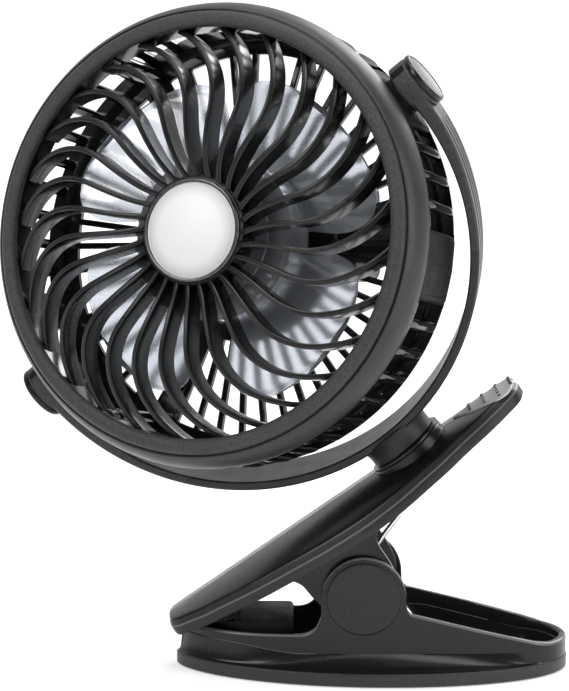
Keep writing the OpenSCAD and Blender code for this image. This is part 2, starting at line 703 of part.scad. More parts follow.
// ---- yoke ----
module pivot_screws() color("#a7a9ac") on_head() both_sides() rotate([0, 90, 0]) {
    rod(pivot_r, pad_face - pivot_grip + 0.5, screw_seat + eps);
    rod(pivot_head_r, screw_seat, screw_seat + pivot_head_h);
}

module pivot_washers() color("#e2e2dc") on_head() both_sides() rotate([0, 90, 0])
    tube(5.5, pivot_r + 0.1, pad_face, boss_face);

module yoke_section() {
    h = yoke_w / 2;
    g0 = yoke_rib_w / 2;
    g1 = g0 + yoke_groove_w;
    face = yoke_r + yoke_t;
    polygon([[yoke_r, -h], [face - 0.4, -h], [face, -h + 0.6], [face, -g1], [face - yoke_groove_depth, -g1],
        [face - yoke_groove_depth, -g0], [face, -g0], [face, g0], [face - yoke_groove_depth, g0],
        [face - yoke_groove_depth, g1], [face, g1], [face, h - 0.6], [face - 0.4, h], [yoke_r, h]]);
}

module stem_boss()
    rotate_extrude() polygon(concat([[0, z_ring], [stem_r, z_ring], [stem_r, z_ring + 2.2]],
        arc([stem_r + stem_flare, z_ring + 2.2], stem_flare, 3.2, 180, 90, 5),
        [[stem_r + stem_flare, 1.4 - yoke_bottom - yoke_t], [0, 1.4 - yoke_bottom - yoke_t]]));

module yoke() color("#2e2e2f") on_yoke() difference() {
    union() {
        translate([0, 0, -yoke_drop]) rotate([90, 0, 0]) rotate([0, 0, 180 - ring_end])
            rotate_extrude(angle = 180 + 2 * ring_end, $fn = 160) yoke_section();
        both_sides() rotate([0, 90, 0]) {
            rod(knob_r, boss_face, cap_face - 0.5);
            rod(knob_r - 0.5, cap_face - 0.5 - eps, cap_face);
        }
        stem_boss();
    }
    both_sides() rotate([0, 90, 0]) {
        rod(pivot_r + run_fit, boss_face - over, screw_seat + over);
        rod(pivot_head_r + 0.4, screw_seat, cap_face + over);
    }
    rod(swivel_r, z_ring - over, z_ring + 5);
}

module knob_caps() color("#39393b") on_yoke() both_sides() rotate([0, 90, 0]) {
    rod(knob_r, cap_face, cap_face + cap_t - 0.7);
    translate([0, 0, cap_face + cap_t - 0.7 - eps]) cylinder(r1 = knob_r, r2 = knob_r - 0.7, h = 0.7 + eps);
    rod(pivot_head_r + 0.35, screw_seat + pivot_head_h + 0.2, cap_face + eps);
}

module collar_ring() color("#55565a") on_stem() tube(ring_r, swivel_r + 0.3, z_collar, z_ring);

module swivel_screw() color("#a7a9ac") on_yoke() {
    z_head = swivel_seat - swivel_washer_t;
    rod(swivel_r, z_head - eps, z_ring + 4.5);
    rod(swivel_r + 1.7, z_head - swivel_head_h, z_head);
}

module swivel_washer() color("#c0c3c6") on_yoke()
    tube(swivel_r + 3.4, swivel_r + 0.1, swivel_seat - swivel_washer_t, swivel_seat);

// ---- clip: upper arm ----
// Points along one edge of the arm's plan; the last function closes an outline from both edges
function arm_edge(inset) =
    [for (i = [0:36]) let (t = (1 - cos(180 * i / 36)) / 2, w = arm_half_w * curve(ARM_PLAN, t) - inset)
        if (w > 0.05) [arm_tip + inset + t * (arm_len - 2 * inset), w]];
function mirrored(edge) = concat([for (p = edge) [p[0], -p[1]]], [for (i = [len(edge) - 1:-1:0]) edge[i]]);

module arm_prism(inset) translate([0, 0, -20]) linear_extrude(60) polygon(mirrored(arm_edge(inset)));

module arm_dome(lift) translate([arm_tip - over, 0, arm_crown - crown_section_r + lift]) rotate([0, 90, 0])
    cylinder(r = crown_section_r, h = arm_len + 2 * over, $fn = 180);

module arm_shell() difference() {
    intersection() {
        arm_prism(0);
        arm_dome(0);
    }
    intersection() {
        arm_prism(arm_wall);
        arm_dome(-arm_wall);
    }
    arm_dome(-skirt_depth);
}

// Side plates between the shell and the hinge, drawn in the world's X and Z about the hinge
module ear_plate() rotate([0, arm_slope, 0]) rotate([90, 0, 0]) linear_extrude(ear_t)
    polygon([[-24.5, 5.6], [-21.5, 4.8], [-19.2, 3.6], [-15.3, -1.2], [-11.8, -4.8], [-6, -10.2], [6, -10.2],
        [11.6, 1], [11.4, 5], [8.5, 11.1], [4.9, 16.2], [3.6, 19.4], [4.6, 21.8], [11.6, 27.8], [5, 38],
        [-29, 15]]);

// Height of the jaw line, along which the two pads meet
function jaw_line(x) = pad_top0 + (pad_top1 - pad_top0) * (x - pad_x0) / (jaw_x1 - pad_x0);

module jaw_ribs() intersection() {
    arm_prism(arm_wall - eps);
    arm_dome(-arm_wall + eps);
    for (y = [-9, 0, 9])
        translate([0, y + arm_wall / 2, 0]) from_world() rotate([90, 0, 0]) linear_extrude(arm_wall)
            polygon([[pad_x0 + 1, jaw_line(pad_x0 + 1) + pad_t + jaw_gap],
                [jaw_x1 - 1, jaw_line(jaw_x1 - 1) + pad_t + jaw_gap],
                [jaw_x1 - 1, clip_over], [pad_x0 + 1, clip_over]]);
}

module upper_arm() color("#2d2d2e") on_arm() difference() {
    union() {
        arm_shell();
        intersection() {
            arm_dome(-arm_wall / 2);
            for (y = [-ear_in, ear_out]) translate([0, y, 0]) ear_plate();
        }
        for (s = [-1, 1]) rotate([s * 90, 0, 0]) {
            rod(ear_r - 1.6, ear_in, ear_out);
            rod(sleeve_r, sleeve_end, ear_in + eps);
        }
        jaw_ribs();
        intersection() {
            arm_dome(-arm_wall / 2);
            box(leg_end[0] - 2.4, leg_end[0] + 1.4, -coil_half - 3, -coil_half + 3,
                leg_end[1] + wire_d / 2, arm_crown);
        }
        translate(-hinge_in_arm()) rotate([0, arm_slope - stem_lean, 0]) rod(collar_d / 2, -collar_len, 0);
    }
    rotate([90, 0, 0]) rod(pin_r + run_fit, -tub_half_w, tub_half_w);
    translate(-hinge_in_arm()) rotate([0, arm_slope - stem_lean, 0]) rod(swivel_r + run_fit, -20, over);
    from_world() base_prism(tub_inset - slip, 0, arm_cut_z);
}

// Centre of the collar's top face in the arm's frame, negated
function hinge_in_arm() = -[stem_u, 0, stem_top] + collar_ring_t / 2
    * [-sin(stem_lean - arm_slope), 0, cos(stem_lean - arm_slope)];

// The grip pad's half width along its length, as shares of both
GRIP_PLAN = [[0, 0], [0.11, 0.24], [0.26, 0.54], [0.42, 0.73], [0.57, 0.88], [0.72, 0.99], [0.85, 0.93],
    [0.94, 0.62], [1, 0]];

module grip_pad() color("#8b8c8e") on_arm() difference() {
    intersection() {
        translate([0, 0, -clip_over / 3]) linear_extrude(clip_over)
            polygon(mirrored([for (i = [1:23]) let (t = (1 - cos(7.5 * i)) / 2)
                [grip_u0 + grip_len * t, grip_half_w * curve(GRIP_PLAN, t)]]));
        arm_prism(0.6);
        arm_dome(grip_t);
    }
    arm_dome(0);
}

module upper_jaw_pad() color("#191919") intersection() {
    rotate([90, 0, 0]) translate([0, 0, -upper_pad_w / 2]) linear_extrude(upper_pad_w)
        polygon([[pad_x0, pad_top0 + jaw_gap], [jaw_x1, pad_top1 + jaw_gap],
            [jaw_x1, pad_top1 + pad_t + jaw_gap], [pad_x0, pad_top0 + pad_t + jaw_gap]]);
    on_arm() arm_prism(arm_wall + slip);
    on_arm() arm_dome(-arm_wall - slip);
}

// ---- clip: lower arm ----
function base_w(x, inset) =
    let (t = x < base_back
        ? (base_back - x) / (base_back - base_x0)
        : (x - base_back) / (base_x1 - base_back))
    base_half_w * pow(max(1 - t * t, 0), x < base_back ? 0.62 : 0.45) - inset;

function base_edge(inset) =
    [for (i = [0:36]) let (c = -cos(180 * i / 36), w = base_w(base_len / 2 * c, inset))
        if (w > 0.05) [(base_len / 2 - inset) * c, w]];

module base_prism(inset, z0, z1) translate([0, 0, z0]) linear_extrude(z1 - z0)
    polygon(mirrored(base_edge(inset)));

module tub_block(half) translate([0, half, 0]) rotate([90, 0, 0]) linear_extrude(2 * half)
    polygon([[base_x0, 0], [base_x0, jaw_rim_h], [hinge_x - 20, jaw_rim_h], [hinge_x - 17, jaw_rim_h + 0.8],
        [hinge_x - 14.8, jaw_rim_h + 2.8], [hinge_x - 13.4, hinge_z - 5.4],
        [hinge_x - 12.8, hinge_z - 3.6], [hinge_x + 13, hinge_z], [hinge_x + 13.7, hinge_z - 3.6],
        [hinge_x + 15.2, hinge_z - 5.2], [hinge_x + 17.8, hinge_z - 5.7], [51.4, grip_rim_h + 1.2],
        [56, grip_rim_h + 0.2], [base_x1, grip_rim_h], [base_x1, 0]]);

module lower_arm() color("#2d2d2e") difference() {
    union() {
        base_prism(0, 0, flange_t);
        base_prism(step_inset, 0, flange_t + step_h);
        intersection() {
            base_prism(tub_inset, 0, clip_over);
            union() {
                tub_block(tub_half_w);
                translate(hinge) rotate([90, 0, 0]) rod(ear_r, -tub_half_w, tub_half_w);
            }
        }
    }
    intersection() {
        base_prism(tub_inset + tub_wall, floor_t, clip_over);
        box(base_x0, base_x1, -tub_in, tub_in, floor_t, clip_over);
    }
    translate(hinge) rotate([90, 0, 0]) {
        rod(pin_r, -tub_half_w - over, tub_half_w + over);
        for (s = [0, 180]) rotate([s, 0, 0]) rod(cover_r + 0.5, pin_half, tub_half_w + over);
    }
}

module lower_jaw_pad() color("#191919") intersection() {
    translate([0, lower_pad_w / 2, 0]) rotate([90, 0, 0]) linear_extrude(lower_pad_w)
        polygon([[pad_x0, floor_t], [pad_x0, pad_top0], [jaw_x1, pad_top1], [pad_x1 - 1.5, pad_top1],
            [pad_x1 - 0.4, pad_top1 - 0.5], [pad_x1, pad_top1 - 1.6], [pad_x1, floor_t]]);
    base_prism(tub_inset + tub_wall + slip, 0, clip_over);
}

// ---- hinge ----
module hinge_pin() color("#b9bcc0") translate(hinge) rotate([90, 0, 0]) rod(pin_r, -pin_half, pin_half);

module hinge_covers() color("#323234") translate(hinge) for (s = [90, -90]) rotate([s, 0, 0]) {
    rod(cover_r, pin_half, tub_half_w + cover_proud - 0.4);
    translate([0, 0, tub_half_w + cover_proud - 0.4 - eps])
        cylinder(r1 = cover_r, r2 = cover_r - 0.4, h = 0.4 + eps);
}

// The spring's centre line: a leg to the arm, the coil about the hinge and a leg to the floor
function coil_point(a, y) = [coil_r * cos(a), y, coil_r * sin(a)];
function spring_path() =
    let (a0 = leg_up_angle + 90, a1 = leg_down_start - 360 * coil_turns, n = 18 * coil_turns,
        up = [cos(leg_up_angle), 0, sin(leg_up_angle)], down = [cos(leg_down_angle), 0, sin(leg_down_angle)],
        start = coil_point(a0, -coil_half), end = coil_point(a1, coil_half))
    concat([start + leg_up * up, start + leg_up / 2 * up],
        [for (i = [0:n]) coil_point(a0 + (a1 - a0) * i / n, -coil_half + 2 * coil_half * i / n)],
        [end + leg_down / 2 * down, end + leg_down * down]);

// A wire ring square to the path, with one side kept along Y or across it
function wire_ring(path, i) =
    let (a = path[max(i - 1, 0)], b = path[min(i + 1, len(path) - 1)], d = (b - a) / norm(b - a),
        u = [0, 1, 0] - d[1] * d, v = u / norm(u), w = cross(v, d))
    [for (k = [0:7]) path[i] + wire_d / 2 * (cos(45 * k) * v + sin(45 * k) * w)];

module torsion_spring() color("#c6c9cc") translate(hinge) {
    path = spring_path();
    skin([for (i = [0:len(path) - 1]) wire_ring(path, i)]);
}

front_grille();
badge_ring();
badge_cap();
impeller();
motor_shaft();
motor_can();
motor_bracket();
motor_screws();
rear_housing();
grille_screws();
control_cover();
cover_screws();
battery_door();
battery_cell();
battery_contacts();
circuit_board();
button_switch();
power_button();
usb_port();
indicator_lens();
pivot_screws();
pivot_washers();
yoke();
knob_caps();
collar_ring();
swivel_screw();
swivel_washer();
upper_arm();
grip_pad();
upper_jaw_pad();
lower_arm();
lower_jaw_pad();
hinge_pin();
hinge_covers();
torsion_spring();
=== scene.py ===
"""Looks of a clip-on camping fan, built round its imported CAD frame. Lengths below are in millimetres."""

import math

import bmesh
import bpy
from mathutils import Matrix, Vector


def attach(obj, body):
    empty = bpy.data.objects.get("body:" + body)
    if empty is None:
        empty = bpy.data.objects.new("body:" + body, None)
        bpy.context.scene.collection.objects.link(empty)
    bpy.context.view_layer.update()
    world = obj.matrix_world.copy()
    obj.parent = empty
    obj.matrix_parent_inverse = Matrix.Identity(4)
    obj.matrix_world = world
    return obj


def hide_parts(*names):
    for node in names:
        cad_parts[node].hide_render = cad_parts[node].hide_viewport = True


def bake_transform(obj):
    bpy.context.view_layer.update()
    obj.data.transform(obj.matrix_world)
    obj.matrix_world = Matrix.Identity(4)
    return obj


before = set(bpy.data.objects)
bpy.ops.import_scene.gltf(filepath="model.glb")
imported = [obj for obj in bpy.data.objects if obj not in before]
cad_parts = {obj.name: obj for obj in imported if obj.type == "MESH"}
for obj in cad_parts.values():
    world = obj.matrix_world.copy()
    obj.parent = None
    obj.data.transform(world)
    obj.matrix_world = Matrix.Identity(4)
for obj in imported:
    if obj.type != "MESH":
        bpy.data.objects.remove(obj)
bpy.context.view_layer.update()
MM = 0.001
SHARP = 32  # an edge stays sharp where it bends by more degrees than this


# ---- frames
def turn(axis, degrees):
    return Matrix.Rotation(math.radians(degrees), 4, axis)


def moved(place, x, y, z):
    return place @ Matrix.Translation((x, y, z))


WORLD = Matrix.Identity(4)
HINGE = Vector((-3.1, 0.0, 25.9))
LEAN, SLOPE, SWIVEL, TILT, POD_TURN = 40.5, 34.8, -10.3, 25.3, -35.0
STEM_LEN = 86.5  # from the collar on the arm to the middle of the yoke
HINGE_FRAME = Matrix.Translation(HINGE)
ARM = HINGE_FRAME @ turn("Y", -SLOPE)
COLLAR_AT = ARM @ Vector((37.3, 0.0, 29.9))
STEM = moved(Matrix.Translation(COLLAR_AT) @ turn("Y", -LEAN), 0, 0, STEM_LEN)
YOKE = STEM @ turn("Z", SWIVEL)
HEAD = YOKE @ turn("X", 90 - TILT)
POD = HEAD @ turn("Z", POD_TURN)
SIDE = turn("Y", 90)  # turns a shape made along Z to lie along X

# ---- materials
TINT_SCALE, GLOSS_SCALE, WAVE_SCALE = 45, 160, 90  # features a metre
WAVE_DEPTH, GRAIN_DEPTH = 0.0012, 0.00022  # metres


def nodes_of(name):
    material = bpy.data.materials.new(name)
    material.use_nodes = True
    tree = material.node_tree
    return material, tree, tree.nodes["Principled BSDF"]


def feed(tree, node, inputs):
    """Sets a node's inputs, each to a value or to the output of another node."""
    for key, value in inputs.items():
        if isinstance(value, bpy.types.NodeSocket):
            tree.links.new(value, node.inputs[key])
        else:
            node.inputs[key].default_value = value


def add_node(tree, kind, inputs=None, **settings):
    node = tree.nodes.new("ShaderNode" + kind)
    for key, value in settings.items():
        setattr(node, key, value)
    feed(tree, node, inputs or {})
    return node


def noise(tree, scale, detail=2.0, rough=0.5, stretch=None):
    """A noise texture in the object's own coordinates; scale is in features a metre."""
    vector = add_node(tree, "TexCoord").outputs["Object"]
    if stretch:
        vector = add_node(tree, "Mapping", {"Vector": vector, "Scale": stretch}).outputs["Vector"]
    inputs = {"Vector": vector, "Scale": scale, "Detail": detail, "Roughness": rough}
    return add_node(tree, "TexNoise", inputs).outputs["Fac"]


def ramp(tree, source, low, high, start=0.3, end=0.7):
    """Maps a factor to two values or two colours."""
    node = add_node(tree, "ValToRGB", {"Fac": source})
    for element, position, value in zip(node.color_ramp.elements, (start, end), (low, high)):
        element.position = position
        element.color = (*value, 1) if hasattr(value, "__len__") else (value, value, value, 1)
    return node.outputs["Color"]


def remap(tree, source, low, high, to_low=0.0, to_high=1.0, kind="LINEAR"):
    inputs = {"Value": source, "From Min": low, "From Max": high, "To Min": to_low, "To Max": to_high}
    return add_node(tree, "MapRange", inputs, interpolation_type=kind).outputs["Result"]


def maximum(tree, a, b):
    return add_node(tree, "Math", {0: a, 1: b}, operation="MAXIMUM").outputs[0]


def bump(tree, shader, source, strength, distance, under=None):
    """Gives a shader relief, on top of the relief under."""
    inputs = {"Strength": strength, "Distance": distance, "Height": source}
    if under is not None:
        inputs["Normal"] = under
    normal = add_node(tree, "Bump", inputs).outputs["Normal"]
    feed(tree, shader, {"Normal": normal})
    return normal


def plastic(name, colour, rough, grain=0.0, grain_scale=2600, spread=0.12, wave=0.0, coat=0.0, specular=0.3,
            speckle=0.0):
    """Moulded plastic: faint colour drift, uneven gloss, a fine sand grain and slow waviness."""
    material, tree, shader = nodes_of(name)
    low, high = ([c * share for c in colour] for share in (1 - spread, 1 + spread))
    tint = ramp(tree, noise(tree, TINT_SCALE, 3), low, high)
    if speckle:
        fine = ramp(tree, noise(tree, grain_scale * 0.8, 2, 0.6), 1 - speckle, 1 + speckle, 0.36, 0.64)
        tint = add_node(tree, "Mix", {"Factor": 1.0, 6: tint, 7: fine},
                        data_type="RGBA", blend_type="MULTIPLY").outputs[2]
    gloss = ramp(tree, noise(tree, GLOSS_SCALE, 4), rough * 0.86, min(1, rough * 1.16))
    feed(tree, shader, {"Base Color": tint, "Roughness": gloss, "Specular IOR Level": specular,
                        "Coat Weight": coat, "Coat Roughness": 0.08})
    normal = bump(tree, shader, noise(tree, WAVE_SCALE, 1), wave, WAVE_DEPTH) if wave else None
    if grain:
        bump(tree, shader, noise(tree, grain_scale, 3, 0.65), grain, GRAIN_DEPTH, normal)
    return material


def metal(name, colour, rough, stretch=(1, 1, 30)):
    """Drawn or rolled metal, with fine streaks along the stretched axis."""
    material, tree, shader = nodes_of(name)
    source = noise(tree, 900, 3, 0.6, stretch)
    feed(tree, shader, {"Metallic": 1.0, "Base Color": ramp(tree, source, [c * 0.85 for c in colour], colour),
                        "Roughness": ramp(tree, source, rough * 0.75, rough * 1.3)})
    bump(tree, shader, source, 0.12, 0.00008)
    return material


def clear(name, colour, rough, transmission, coat=0.6):
    """Translucent moulded plastic."""
    material, tree, shader = nodes_of(name)
    tint = ramp(tree, noise(tree, 38, 2), [c * 0.93 for c in colour], colour, 0.35, 0.65)
    gloss = ramp(tree, noise(tree, 60, 1), rough * 0.9, rough * 1.15)
    feed(tree, shader, {"Base Color": tint, "Roughness": gloss, "IOR": 1.46, "Coat Weight": coat,
                        "Coat Roughness": 0.05, "Transmission Weight": transmission})
    bump(tree, shader, noise(tree, 26, 0), 0.12, 0.0015)
    return material


BADGE_COLOUR = (0.80, 0.803, 0.806)
SATIN = plastic("satin_shell", (0.020, 0.020, 0.0205), 0.36, grain=0.5, grain_scale=1700, speckle=0.25)
RIM_BAND = plastic("rim_band", (0.034, 0.0335, 0.034), 0.34, grain=0.4, grain_scale=1900, speckle=0.15)
SAND = plastic("sanded_shell", (0.043, 0.042, 0.041), 0.46, grain=0.9, grain_scale=1950, speckle=0.3,
               spread=0.05)
# Painted highlight: a pale colour laid on bevelled edges for the bright lines they would catch
PAINTED_EDGE_HIGHLIGHT = plastic("painted_edge_highlight", (0.13, 0.13, 0.132), 0.22, spread=0.05)
SMOOTH = plastic("smooth_shell", (0.0105, 0.0105, 0.011), 0.25, grain=0.06, spread=0.03)
GLOSS = plastic("gloss_shell", (0.006, 0.006, 0.0063), 0.14, wave=0.05, coat=0.3)
RIB_EDGE = plastic("rib_edge", (0.012, 0.012, 0.012), 0.30, grain=0.25, grain_scale=1700)
GLOSS_RIB = plastic("gloss_rib", (0.006, 0.006, 0.0062), 0.2, wave=0.1, coat=0.1, specular=0.22)
DOME_WHITE = plastic("badge_white", BADGE_COLOUR, 0.38, spread=0.01, specular=0.25)
BEZEL = metal("badge_bezel", (0.10, 0.10, 0.105), 0.30, (1, 1, 1))
BLADE = clear("blade_smoke", (0.78, 0.82, 0.89), 0.20, 0.86)
HUB = clear("hub_smoke", (0.50, 0.52, 0.56), 0.16, 0.55)
STEEL = metal("zinc_steel", (0.62, 0.62, 0.63), 0.28)
WIRE = metal("spring_wire", (0.70, 0.70, 0.71), 0.22, (1, 1, 1))
CAN = metal("motor_can_steel", (0.50, 0.51, 0.53), 0.35)
BRASS = metal("contact_brass", (0.75, 0.62, 0.34), 0.25)
RUBBER = plastic("pad_rubber", (0.003, 0.003, 0.0032), 0.6, grain=0.25, grain_scale=1500, specular=0.18)
GRIP_GREY = plastic("grip_grey", (0.56, 0.56, 0.565), 0.62, grain=0.8, grain_scale=1700, spread=0.06)
NYLON = plastic("washer_nylon", (0.035, 0.035, 0.035), 0.45, grain=0.1, spread=0.05)
PANEL = plastic("cage_panel", (0.013, 0.0125, 0.012), 0.5, grain=0.3, specular=0.12)
BOARD = plastic("board_mask", (0.02, 0.12, 0.06), 0.30, grain=0.3, grain_scale=900, spread=0.2)
WRAP = plastic("cell_wrap", (0.05, 0.15, 0.42), 0.25, wave=0.2, coat=0.5, spread=0.06)
BUTTON = plastic("button_cap", (0.060, 0.060, 0.064), 0.36, grain=0.4)
LENS = clear("lens_clear", (0.80, 0.88, 0.95), 0.08, 0.7)


# ---- mesh helpers
def add_object(name, data):
    obj = bpy.data.objects.new(name, data)
    bpy.context.scene.collection.objects.link(obj)
    return obj


def shade(mesh, sharp=SHARP):
    mesh.shade_smooth()
    mesh.set_sharp_from_angle(angle=math.radians(sharp))


def clean(mesh, sharp=SHARP):
    """Merges doubled points, turns the faces outwards and shades the mesh."""
    work = bmesh.new()
    work.from_mesh(mesh)
    bmesh.ops.remove_doubles(work, verts=work.verts, dist=2e-6)
    bmesh.ops.dissolve_degenerate(work, edges=work.edges, dist=1e-6)
    bmesh.ops.recalc_face_normals(work, faces=work.faces)
    work.to_mesh(mesh)
    work.free()
    shade(mesh, sharp)


def build(name, verts, faces, place=WORLD, sharp=SHARP):
    """An object with its origin at the frame's origin, from points in millimetres in the frame place."""
    mesh = bpy.data.meshes.new(name)
    mesh.from_pydata([(place @ Vector(v)) * MM for v in verts], [], faces)
    clean(mesh, sharp)
    return add_object(name, mesh)


def baked(obj):
    """Applies the object's modifiers."""
    bpy.context.view_layer.update()
    graph = bpy.context.evaluated_depsgraph_get()
    mesh = bpy.data.meshes.new_from_object(obj.evaluated_get(graph))
    obj.modifiers.clear()
    obj.data = mesh
    clean(mesh)
    return obj


def bevelled(obj, width, segments=3, angle=38):
    """Rounds the edges that bend by more degrees than angle."""
    modifier = obj.modifiers.new("bevel", "BEVEL")
    modifier.width, modifier.segments = width * MM, segments
    modifier.limit_method, modifier.angle_limit = "ANGLE", math.radians(angle)
    return baked(obj)


def boolean(obj, tools, operation="DIFFERENCE"):
    for tool in tools:
        modifier = obj.modifiers.new("cut", "BOOLEAN")
        modifier.operation, modifier.solver, modifier.object = operation, "EXACT", tool
    baked(obj)
    for tool in tools:
        bpy.data.objects.remove(tool)
    return obj


def join(name, objects):
    """One object out of several."""
    work = bmesh.new()
    for obj in objects:
        work.from_mesh(obj.data)
    mesh = bpy.data.meshes.new(name)
    work.to_mesh(mesh)
    work.free()
    for obj in objects:
        bpy.data.objects.remove(obj)
    shade(mesh)
    return add_object(name, mesh)


def settle(obj, body, slot, materials, *nodes):
    """Materials, the body it rides on, and the CAD nodes it stands for. The slot argument is not used."""
    obj.data.materials.clear()
    for material in materials if isinstance(materials, list) else [materials]:
        obj.data.materials.append(material)
    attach(obj, body)
    if nodes:
        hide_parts(*nodes)
    return obj


def paint(obj, index, test, place=WORLD):
    """Gives a material to the faces for which test(centre, normal) holds, both in the frame place."""
    back = place.inverted()
    turned = back.to_3x3()
    for face in obj.data.polygons:
        if test(back @ (face.center / MM), turned @ face.normal):
            face.material_index = index


def blend(a, b, t):
    return a + (b - a) * t


def smooth(t):
    t = min(1.0, max(0.0, t))
    return t * t * (3 - 2 * t)


def arc(cx, cy, rx, ry, start, end, steps):
    angles = [math.radians(blend(start, end, i / steps)) for i in range(steps + 1)]
    return [(cx + rx * math.cos(a), cy + ry * math.sin(a)) for a in angles]


def rounded(points, steps=3, closed=True):
    """A 2D outline. A corner's third number, where it has one, is the radius that rounds it."""
    out, count = [], len(points)
    for i, (x, y, *radius) in enumerate(points):
        if not any(radius) or not closed and i in (0, count - 1):
            out.append((x, y))
            continue
        p, a, b = Vector((x, y)), Vector(points[i - 1][:2]), Vector(points[(i + 1) % count][:2])
        r = min(radius[0], (a - p).length * 0.45, (b - p).length * 0.45)
        s, e = p + (a - p).normalized() * r, p + (b - p).normalized() * r
        for k in range(steps + 1):
            t = k / steps
            out.append(tuple(s * (1 - t) ** 2 + p * 2 * t * (1 - t) + e * t ** 2))
    return out


def quads(a, b, n):
    """Faces between a ring of n points from number a and one from number b."""
    return [(a + i, a + (i + 1) % n, b + (i + 1) % n, b + i) for i in range(n)]


def revolve(name, profile, place=WORLD, steps=128, sharp=SHARP):
    """Turns a closed outline of (radius, z) about Z."""
    verts, faces, n = [], [], len(profile)
    for k in range(steps):
        c, s = math.cos(2 * math.pi * k / steps), math.sin(2 * math.pi * k / steps)
        verts += [(r * c, r * s, z) for r, z in profile]
        faces += quads(k * n, (k + 1) % steps * n, n)
    return build(name, verts, faces, place, sharp)


def skin(name, rings, place=WORLD, caps=True, sharp=SHARP):
    """A surface through rings of points, all with as many points."""
    n, last = len(rings[0]), len(rings) - 1
    faces = [face for k in range(last) for face in quads(k * n, (k + 1) * n, n)]
    if caps:
        faces += [tuple(range(n)), tuple(range(last * n, (last + 1) * n))]
    return build(name, [p for ring in rings for p in ring], faces, place, sharp)


def raised(name, rings, place, bevel, segments):
    obj = skin(name, rings, place)
    return bevelled(obj, bevel, segments) if bevel else obj


def prism(name, outline, low, high, place=WORLD, bevel=0.0, segments=3):
    """An outline of (x, y), raised from z low to z high."""
    return raised(name, [[(x, y, z) for x, y in outline] for z in (low, high)], place, bevel, segments)


def plate(name, outline, y0, y1, place=WORLD, bevel=0.0, segments=3):
    """An outline of (x, z), raised along Y."""
    return raised(name, [[(x, y, z) for x, z in outline] for y in (y0, y1)], place, bevel, segments)


def slab(name, x0, x1, y0, y1, z0, z1, place=WORLD, bevel=0.0, segments=3):
    return prism(name, [(x0, y0), (x1, y0), (x1, y1), (x0, y1)], z0, z1, place, bevel, segments)


def rod(name, r, z0, z1, place=WORLD, edge=0.3, steps=64, hole=0.0):
    return revolve(name, rounded([(hole, z0), (r, z0, edge), (r, z1, edge), (hole, z1)]), place, steps)


def spline(table, x):
    """A smooth curve through the points of a table."""
    i = 0
    while i < len(table) - 2 and x >= table[i + 1][0]:
        i += 1

    def slope(k):
        a, b = max(k - 1, 0), min(k + 1, len(table) - 1)
        return (table[b][1] - table[a][1]) / (table[b][0] - table[a][0])

    (x0, y0), (x1, y1) = table[i], table[i + 1]
    h = x1 - x0
    t = (x - x0) / h
    return ((2 * t ** 3 - 3 * t ** 2 + 1) * y0 + (t ** 3 - 2 * t ** 2 + t) * h * slope(i)
            + (3 * t ** 2 - 2 * t ** 3) * y1 + (t ** 3 - t ** 2) * h * slope(i + 1))


def straight(table, x):
    """Straight lines through the points of a table, held level beyond its ends."""
    x = min(max(x, table[0][0]), table[-1][0])
    (x0, y0), (x1, y1) = next(pair for pair in zip(table, table[1:]) if x <= pair[1][0])
    return blend(y0, y1, (x - x0) / (x1 - x0))


def at_angle(degrees):
    return HEAD @ turn("Z", degrees)


# ---- head: sizes
HEAD_R, MOUTH_R, BADGE_R = 72.5, 63.5, 16.2
Z_RIM, Z_STEP, Z_BACK, Z_PLATE = 22.6, 13.1, -16.9, -14.5
POSTS = (85, 205, 318)
POST_AT = MOUTH_R + 1.4
BARS = 48
PITCH = 360 / BARS


def at_post(degrees, z=0):
    return moved(at_angle(degrees), POST_AT, 0, z)


# ---- front grille
CONE_SHARE = 0.45  # the rim's band lies between a round shoulder and a cone
rim = [(MOUTH_R, Z_STEP + 0.2), (MOUTH_R, Z_RIM - 0.6), *arc(66.0, Z_RIM - 0.1, 2.45, 1.85, 172, 8, 14)]
rim += [(68.35, Z_RIM - 0.95), (69.0, Z_RIM - 0.95), (69.1, Z_RIM - 0.35)]
for i, (r, z) in enumerate(arc(69.0, Z_RIM - 8.0, 3.5, 7.75, 82, 4, 12)):
    cone_r, cone_z = blend(69.3, 72.49, i / 12), blend(Z_RIM - 0.5, Z_RIM - 7.5, i / 12)
    rim.append((blend(r, cone_r, CONE_SHARE), blend(z, cone_z, CONE_SHARE)))
rim += rounded([(HEAD_R, Z_STEP + 0.9), (HEAD_R, Z_STEP, 0.5), (70.35, Z_STEP, 0.2), (70.35, Z_RIM - 6),
                (68.5, Z_RIM - 2.4), (65.7, Z_RIM - 2.4), (65.7, Z_STEP, 0.3), (MOUTH_R, Z_STEP, 0.3)])
rim_parts = [revolve("grille_rim", rim, HEAD, 200)]
for a in POSTS:
    rim_parts.append(rod(f"boss_{a}", 2.8, Z_STEP + 2, Z_RIM - 1.9, at_post(a), 0.2, 32))
grille_rim = join("grille_rim", rim_parts)
settle(grille_rim, "head", "black_shell", [RIM_BAND, SAND, GLOSS], "front_grille")
LIP_Z = Z_RIM - 0.9
paint(grille_rim, 1, lambda p, n: 63.4 < p.xy.length < 68.4 and p.z > LIP_Z, HEAD)
paint(grille_rim, 2, lambda p, n: p.xy.length < 68 and p.z < LIP_Z, HEAD)

RIBS, STATIONS = 28, 44
RIB_RISE, RIB_CROWN_AT, RIB_CROWN_R = 9, 36, 40


def rib_front(r):
    """Height of a rib's front edge: an arc that is highest at RIB_CROWN_AT."""
    return Z_RIM + RIB_RISE - RIB_CROWN_R + math.sqrt(RIB_CROWN_R ** 2 - (r - RIB_CROWN_AT) ** 2)


def rib_point(r):
    """Where a rib runs in plan: it turns quickly at the badge, and again towards the rim."""
    outer = max(0.0, (r - RIB_CROWN_AT) / (MOUTH_R - RIB_CROWN_AT))
    a = math.radians(-3.5 + 7.1 * (1 - math.exp((BADGE_R - r) / 4)) + 19 * outer ** 2)
    return Vector((r * math.cos(a), r * math.sin(a)))


